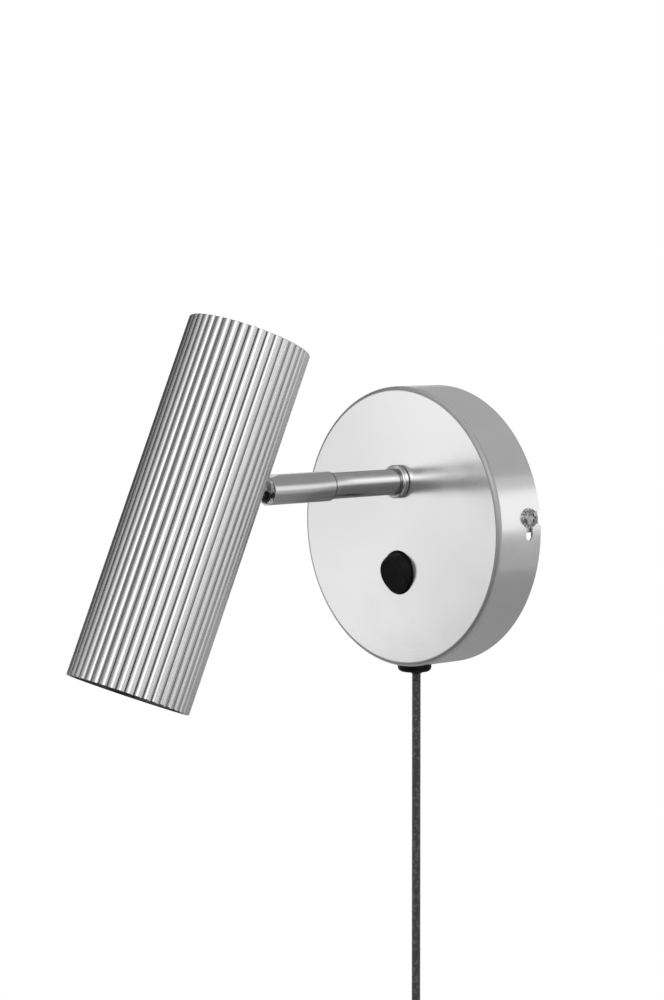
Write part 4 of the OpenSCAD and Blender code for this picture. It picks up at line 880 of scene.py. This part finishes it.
def plug_sections():
    """Each section is |x / w| ^ n + |y / t| ^ n = 1, written as x = w cos a |cos a| ^ (2 / n - 1), and so
    on. Columns are z, half width w, half thickness t and squareness n."""
    z = np.linspace(0.3, GUARD_END, 90)
    taper = GUARD_TOP_R + (GUARD_LOW_R - GUARD_TOP_R) * z / GUARD_END
    rib = np.clip(np.cos(2 * np.pi * z / RIB_PITCH) * 3, -1, 1)
    relief = taper - 0.3 * (rib > 0) * np.clip((z - 1.5) / 2, 0, 1) * np.clip((21 - z) / 2, 0, 1)
    guard = np.column_stack([z, relief, relief, np.full(90, 2.0)])
    shoulder = [[21.9, 4.6, 4.0, 2.4], [22.1, 5.3, 4.35, 2.8], [22.6, 5.9, 4.7, 3.2],
                [23.4, 6.3, 4.9, 3.6], [24.6, 6.75, 5.05, 4.0]]
    share = np.linspace(0, 1, 14)[1:]
    ease = share - 0.05 * np.sin(2 * np.pi * share)
    flare = np.column_stack([24.6 + 12.4 * share, 6.75 + 10.7 * ease, 5.05 + 1.75 * ease, 4 + 1.5 * share])
    end = [[40, PLUG_HALF, 6.85, 5.5], [49, PLUG_HALF, 6.85, 5.5], [50.4, 17.3, 6.65, 5.3],
           [51.4, 16.7, 6.1, 5.0], [51.9, 15.9, 5.4, 4.6], [PLUG_END, 15.0, 4.7, 4.2], [PLUG_END, 0, 0, 4]]
    return np.concatenate([[[0, 0, 0, 2], [0, 1.9, 1.9, 2], [0, 2.1, 2.1, 2]], guard, shoulder, flare, end])


def loft(sections, sides=96):
    z, w, t, n = (column[:, None] for column in sections.T)
    angle = around(sides)[None]
    c, s = np.cos(angle), np.sin(angle)
    power = 2 / n - 1
    return np.stack([w * c * np.abs(c)**power, t * s * np.maximum(np.abs(s), 1e-9)**power,
                     np.broadcast_to(z, (len(z), sides))], -1)


plug = surface("plug_shell", loft(plug_sections()), PLUG, poles=(0, -1), sharp=50)
dress(plug, GLAND_BLACK, "mount", "black_plastic", "plug_body")
sleeves = turned("plug_sleeves", eased([(0, 50, 0), (1.9, 50, 0), (1.9, 62, 0.25), (0, 62, 0)]), PLUG, 32,
                 at=((9.5, 0, 0), (-9.5, 0, 0)))
dress(sleeves, GLAND_BLACK, "mount", "black_plastic")
keep("plug_pins", PIN_METAL, 0.5, 3)
keep("cord_tie", CAP_BLACK, 0.25)
print("plug:", 2 * PLUG_HALF, "mm wide, its end at", round(PLUG_TOP - PLUG_END, 1))

# %% [markdown]
# ## Wires
# Behind the canopy the cord's two cores run to a terminal block, and on through the switch and the arm.
# Two thinner ones run in the shade, from the lead's bush to the lampholder. They are soft, so each is a
# smooth curve through a few points with a round tube carried along it.

# %% Cores behind the canopy and in the shade
def behind(points):
    """From (x, depth behind the face, height) to a point of the room."""
    x, depth, up = np.asarray(points, float).T
    return np.column_stack([x, depth - FACE, up])


def wires(name, routes, radius, place=ROOM, sides=10, rings=90, across=(0.2, 0.3, 0.1)):
    grids = np.stack([hose(spline(route, rings), radius, sides, across) for route in routes])
    return surface(name, grids, place, poles=(0, -1), sharp=60)


def raised(points):
    """Points whose heights are given above the cord's inner end."""
    return [(x, depth, up + INLET_TOP) for x, depth, up in points]


LIVE, NEUTRAL, LOW, HIGH, TIP = -28.5, -37.5, -24.5, -7.5, -58.1
BROWN = [
    [*raised([(-1.2, 9.8, 0.1), (-1.2, 9.9, 1.2), (-3.2, 11.3, 2.2), (-8, 12.4, 3), (-20, 11, 3.7),
              (-27, 7.5, 6)]), (LIVE, 7, LOW - 3.5), (LIVE, 7, LOW + 3.5)],
    [(LIVE, 7, HIGH - 3.5), (LIVE, 7.5, -5), (-25, 12, -2), (-16, 16, -6), (-8, 18, -13), (-5, 17.9, -19.6)],
    [(5, 17.9, -19.6), (7.5, 18, -12), (6, 16.5, 0), (3, 15, 12), (1.2, 12.5, 18.2), (1.2, 9, ARM_HEIGHT),
     (1.2, TIP, ARM_HEIGHT)]]
BLUE = [
    [*raised([(1.2, 9.8, 0.1), (1.2, 9.9, 1.2), (0.5, 11.8, 2.4), (-5, 14.4, 3), (-16, 15, 3.6),
              (-30, 14, 4.6), (-36.5, 10, 6.5)]), (NEUTRAL, 7, LOW - 3.5), (NEUTRAL, 7, LOW + 3.5)],
    [(NEUTRAL, 7, HIGH - 3.5), (-37, 8, -4), (-30, 12, 4), (-16, 15, 12), (-6, 15, 17.4),
     (-1.2, 12.5, 19.2), (-1.2, 9, ARM_HEIGHT), (-1.2, TIP, ARM_HEIGHT)]]
LAMP_CORES = [[(x * s, y, z) for x, y, z in [
    (0.6, 21.91, -8.6), (0.6, 21.36, -8.6), (1.2, 17, -7.6), (2.6, 12, -6.6), (4.1, 7, -6.2),
    (4.9, 2.6, -7.4), (5, 0, -10.5), (5, 0, -12.7), (5, 0, -16.2)]] for s in (-1, 1)]
for name, routes, material in [("brown_cores", BROWN, BROWN_WIRE), ("blue_cores", BLUE, BLUE_WIRE)]:
    dress(wires(name, map(behind, routes), 0.9), material, "mount", "wire_cover", "core_wires")
lamp_cores = wires("lamp_cores", LAMP_CORES, 0.55, SHADE, across=(1, 0.3, 0.05))
dress(lamp_cores, BROWN_WIRE, "head", "wire_cover", "lamp_leads")
print("wires:", len(BROWN) + len(BLUE), "behind the canopy and", len(LAMP_CORES), "in the shade")

# %% [markdown]
# ## The lead over the tilt joint
# A short black lead leaves the knuckle through a lined hole and goes into the shade under the pivot. It
# bends as the shade tilts, so it rides on no body here: it is drawn as it lies at rest.

# %% Flexing lead
LEAD_DROP, BUSH_Z, LEAD_R, LEAD_END_R, LEAD_RINGS = -2.3, -8.6, 1.45, 1.2, 60
out_of_sleeve = [ARM_TURNED((0, -y, LEAD_DROP)) for y in (85.6, 90, 95, 99, 100.6)]
into_shade = [SHADE((0, y, BUSH_Z)) for y in (26.85, 25.95)]
lead_line = spline([*out_of_sleeve, *into_shade], LEAD_RINGS)
lead_r = np.interp(np.linspace(0, 1, LEAD_RINGS), [0, 0.8, 1], [LEAD_R, LEAD_R, LEAD_END_R])
lead = hose_skin("knuckle_flex", lead_line, lead_r, 20, (1, 0.1, 0.2))
lead.data.materials.append(LEAD_BLACK)
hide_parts("knuckle_lead")
tuple(ARM_TURNED((0, -99.8, LEAD_DROP)) * MM)
tuple(SHADE((0, 27.05, BUSH_Z)) * MM)
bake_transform(lead)
print("lead:", round(float(distance_along(lead_line)[-1]), 1), "mm long")

# %% [markdown]
# ## The lamp
# The lamp is a 35 mm reflector lamp with two pins. Its bowl is turned: outside, a neck that flares to the
# rim; inside, a polished dish with a small capsule in its middle. The lens is a thin pressed glass that
# closes it, and its face has rings.

# %% Lamp bowl, capsule and lens
LAMP_TOP, LAMP_LOW, DISH = -33.0, -77.0, -54.5
share = np.linspace(0, 1, 16)
outside = np.column_stack([10 + 7.4 * np.sin(share * np.pi / 2)**0.9, LAMP_TOP - 13 - 25.5 * share])[::-1]
inside = np.column_stack([3 + 13 * np.sqrt(share), DISH - 19.4 * share])
lamp = turned("lamp_bowl", np.concatenate([
    [[0, DISH]], inside,
    [[16.38, -74.0], [16.38, -76.8], [16.6, LAMP_LOW], [17.3, LAMP_LOW], [17.5, -76.8], [17.5, -72.2]],
    outside[1:], [[10, LAMP_TOP - 12.6], [10, LAMP_TOP - 0.4], [9.6, LAMP_TOP], [0, LAMP_TOP]]]),
    SHADE, sharp=40)
dress(lamp, LAMP_REFLECTOR, "head", "lamp_reflector", "lamp_body")
capsule = turned("lamp_capsule", [
    (0, -68), (1.2, -67.8), (2.2, -67), (2.6, -65.6), (2.6, -54.6), (0, -54.6)], SHADE, 32, sharp=50)
dress(capsule, CERAMIC, "head", "lamp_reflector")
ring_r = np.linspace(0, 15.9, 60)
lens_face = np.column_stack([ring_r, -76.15 + 0.12 * np.cos(ring_r * np.pi / 1.3)])
lens_back = [[16.3, -75.9], [16.3, -74.4], [16.0, -74.2], [0, -74.2]]
lens = turned("lamp_window", np.concatenate([lens_face, lens_back]), SHADE, sharp=40)
dress(lens, LAMP_GLASS, "head", "lamp_glass", "lamp_lens")
print("lamp: 35 mm across, lens", round(LAMP_LOW - SHADE_LOW, 1), "mm from the mouth")

# %% [markdown]
# ## The rest of the solid model
# The bracket, screws, washers, nuts, the terminal block, the switch and the knuckles have the right shape
# already. They only need a finish and the small rounds that pressed and turned parts have. The rounds
# come from modifiers, so the parts themselves stay as they are.

# %% Finishes and soft edges for the kept parts, with the width of the round in mm
KEPT = [
    (ZINC, {"wall_bracket": 0.2, "arm_washer": 0.1, "stud_washer": 0.08, "lampholder_bracket": 0.12}),
    (SCREW_STEEL, {"lock_washers": 0.06, "clamp_screws": 0.12, "terminal_screws": 0.1, "block_nut": 0.15,
                   "switch_nuts": 0.15, "arm_nut": 0.2, "retaining_ring": 0.06, "stud_nut": 0.15,
                   "bracket_screws": 0.12}),
    (SIDE_SCREW_STEEL, {"side_screws": 0.12}),
    (KNUCKLE_STEEL, {"arm_knuckle": 0.2, "pivot_screw": 0.12, "shade_knuckle": 0.2}),
    (CAP_BLACK, {"gland_nut": 0.2, "knuckle_grommet": 0.06, "shade_cap": 0.15, "lead_bush": 0.08}),
    (IVORY, {"clamp_base": 0.25, "cord_clamp": 0.25, "terminal_block": 0.3, "friction_washer": 0.05,
             "pivot_washer": 0.06}),
    (GLAND_BLACK, {"switch_housing": 0.08}), (BRASS, {"switch_terminals": 0.08, "contact_bridge": 0.08}),
    (CERAMIC, {"lampholder": 0.3}), (PIN_METAL, {"lamp_pins": 0.15})]
for material, widths in KEPT:
    for node_name, width in widths.items():
        keep(node_name, material, width)
print(sum(len(widths) for _, widths in KEPT) + 2, "parts kept from the solid model")

# %% [markdown]
# ## Floor and background
# The studio is plain and pale. The world shows itself white to the camera, and to metal and glass, while
# the light that it gives to matt things is softer. A pale floor lies well below the cord and keeps the
# object's shadow; far out it is as white as the background.

# %% World and floor
SOFT_LIGHT, FLOOR_Z, FLOOR_HALF, WHITE_FROM, WHITE_FADE = 0.55, -0.45, 8, 0.45, 0.35
scene.view_settings.view_transform = "Standard"
world = bpy.data.worlds.new("studio")
scene.world = world
world.use_nodes = True
sky = Graph(world.node_tree, "OutputWorld")
sky.show(sky.node("Background", sockets={
    "Color": (1, 1, 1, 1), "Strength": sky.looked_at() * (1 - SOFT_LIGHT) + SOFT_LIGHT}))


def plate(name, middle, across, up, material, **seen_by):
    """A flat card with its middle there, spanned by two half sides, in metres."""
    middle, across, up = (np.array(v, float) for v in (middle, across, up))
    mesh = bpy.data.meshes.new(name)
    mesh.from_pydata(np.array([middle - across - up, middle + across - up, middle + across + up,
                               middle - across + up]), [], [(0, 1, 2, 3)])
    made = add(name, mesh)
    mesh.materials.append(material)
    for ray, on in seen_by.items():
        setattr(made, "visible_" + ray, on)
    made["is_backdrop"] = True


floor = Finish("studio_floor", Specular_IOR_Level=0.2)
x, y, _ = floor.split(floor.here())
far = ((length(x, y) - WHITE_FROM) / WHITE_FADE).kept()
floor.put(Base_Color=floor.blend(floor.noise(60.0, 3.0), 0.80, 0.84), Roughness=0.75)
floor.show(floor.node("MixShader", sockets={
    0: floor.looked_at() * far, 1: floor.shader, 2: floor.glow(1)}))
plate("floor", (0, 0, FLOOR_Z), (FLOOR_HALF, 0, 0), (0, FLOOR_HALF, 0), floor.material)
print("floor", round(-FLOOR_Z / MM), "mm below the middle of the wall plate")

# %% [markdown]
# ## Cards and lamps
# Bright metal mirrors its room, so its look is made by what stands round it. A ring of cards about the
# shade's axis gives the reeds their bright and dark bands. A belt of three cards on the right lights the
# canopy's rim, and grey boards behind the wall's plane darken its top. Two sheets lie on the floor. Only
# reflections see the cards. Two large soft lamps, which no metal mirrors, light the plastic and the floor.

# %% Cards and lamps
GLOSSY_ONLY = dict(camera=False, diffuse=False, shadow=False, transmission=False, volume_scatter=False)


def card(name, grey_name, middle, across, up, grey):
    """A glowing plate that only reflections see."""
    finish = Finish(grey_name)
    finish.show(finish.glow(grey))
    plate(name, middle, across, up, finish.material, **GLOSSY_ONLY)


def heading(azimuth):
    """A level direction: azimuth 0 is straight out from the wall, 90 is to the light's right."""
    turn = math.radians(azimuth)
    return np.array([math.sin(turn), -math.cos(turn), 0.0])


def tan(degrees):
    return math.tan(math.radians(degrees))


# Greys of the ring, one card for each 15 degrees round the shade's axis.
RING = [0.48, 0.45, 0.42, 0.66, 0.98, 0.66, 1.15, 0.80, 1.10, 2.20, 1.80, 0.80,
        0.72, 0.36, 0.30, 0.12, 0.16, 0.03, 0.00, 0.00, 0.10, 0.24, 0.34, 0.40]
RING_R, RING_HALF_HEIGHT, RING_STEP = 1.1, 0.27, 360 / 24
along_shade = -(SHADE.turn.T @ np.array(BACK))[2]
for i, grey in enumerate(RING):
    turn = math.radians(RING_STEP * (i + 0.5))
    flat = math.sqrt(1 - along_shade**2)
    out = SHADE.turn @ np.array([flat * math.sin(turn), flat * math.cos(turn), along_shade])
    side = SHADE.turn @ np.array([math.cos(turn), -math.sin(turn), 0])
    card(f"ring_card_{i}", f"ring_grey_{i}", out * RING_R + SHADE.shift * MM,
         side * RING_R * tan(RING_STEP / 2), np.cross(out, side) * RING_HALF_HEIGHT, grey)

# Each row is a name, an azimuth, two elevations, half the width as an angle, a grey and a distance in m.
CARDS = [
    ("belt_right_low", 132, -10, -3, 15, 0.62, 1.0),
    ("belt_right", 132, -3, 20, 15, 1.12, 1.0),
    ("belt_right_top", 132, 20, 28, 15, 0.60, 1.0),
    ("board_right_high", 112, 21, 65, 22, 0.38, 1.3),
    ("board_behind_high", 156, 21, 65, 23, 0.38, 1.3),
    ("board_left_high", 202, 12, 65, 24, 0.36, 1.3),
    ("board_far_left_high", 245, 22, 65, 20, 0.36, 1.3),
    ("dark_card_camera", 49, -25, 8, 30, 0.12, 1.3),
    ("dark_card_left_high", -84, 27, 60, 25, 0.12, 1.3),
    ("board_front_high", 10, 43, 75, 45, 0.28, 1.3)]
for name, azimuth, low, high, half_angle, grey, distance in CARDS:
    bottom, top = distance * tan(low), distance * tan(high)
    card(name, name + "_grey", heading(azimuth) * distance + np.array([0, 0, (bottom + top) / 2]),
         heading(azimuth + 90) * distance * tan(half_angle), (0, 0, (top - bottom) / 2), grey)
ABOVE_FLOOR = FLOOR_Z + 0.01
card("dark_sheet_on_floor", "dark_sheet_grey", (0, -1.1, ABOVE_FLOOR), (1.6, 0, 0), (0, 0.95, 0), 0.10)
card("sheet_on_floor", "sheet_grey", (0.3, 1.3, ABOVE_FLOOR), (2.4, 0, 0), (0, 1.1, 0), 0.28)

for name, place, size, power in [("key", (-1.1, -1.5, 1.2), 1.1, 14), ("fill", (1.6, -0.7, 0.9), 0.9, 8)]:
    data = bpy.data.lights.new(name, "AREA")
    data.shape, data.size, data.energy = "SQUARE", size, power
    light = add(name, data)
    light.location = place
    light.rotation_euler = (Vector((0, -0.05, 0)) - Vector(place)).to_track_quat("-Z", "Y").to_euler()
    light.visible_glossy = False
print(len(RING), "cards in the ring,", len(CARDS), "other cards, 2 sheets and 2 lamps")

# %% [markdown]
# ## The last step
# The lowest and highest corners of what shows are printed, in mm.

# %% Sizes and finish
low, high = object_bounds()
print("dressed model, lowest and highest corner in mm:", in_mm(low), in_mm(high))
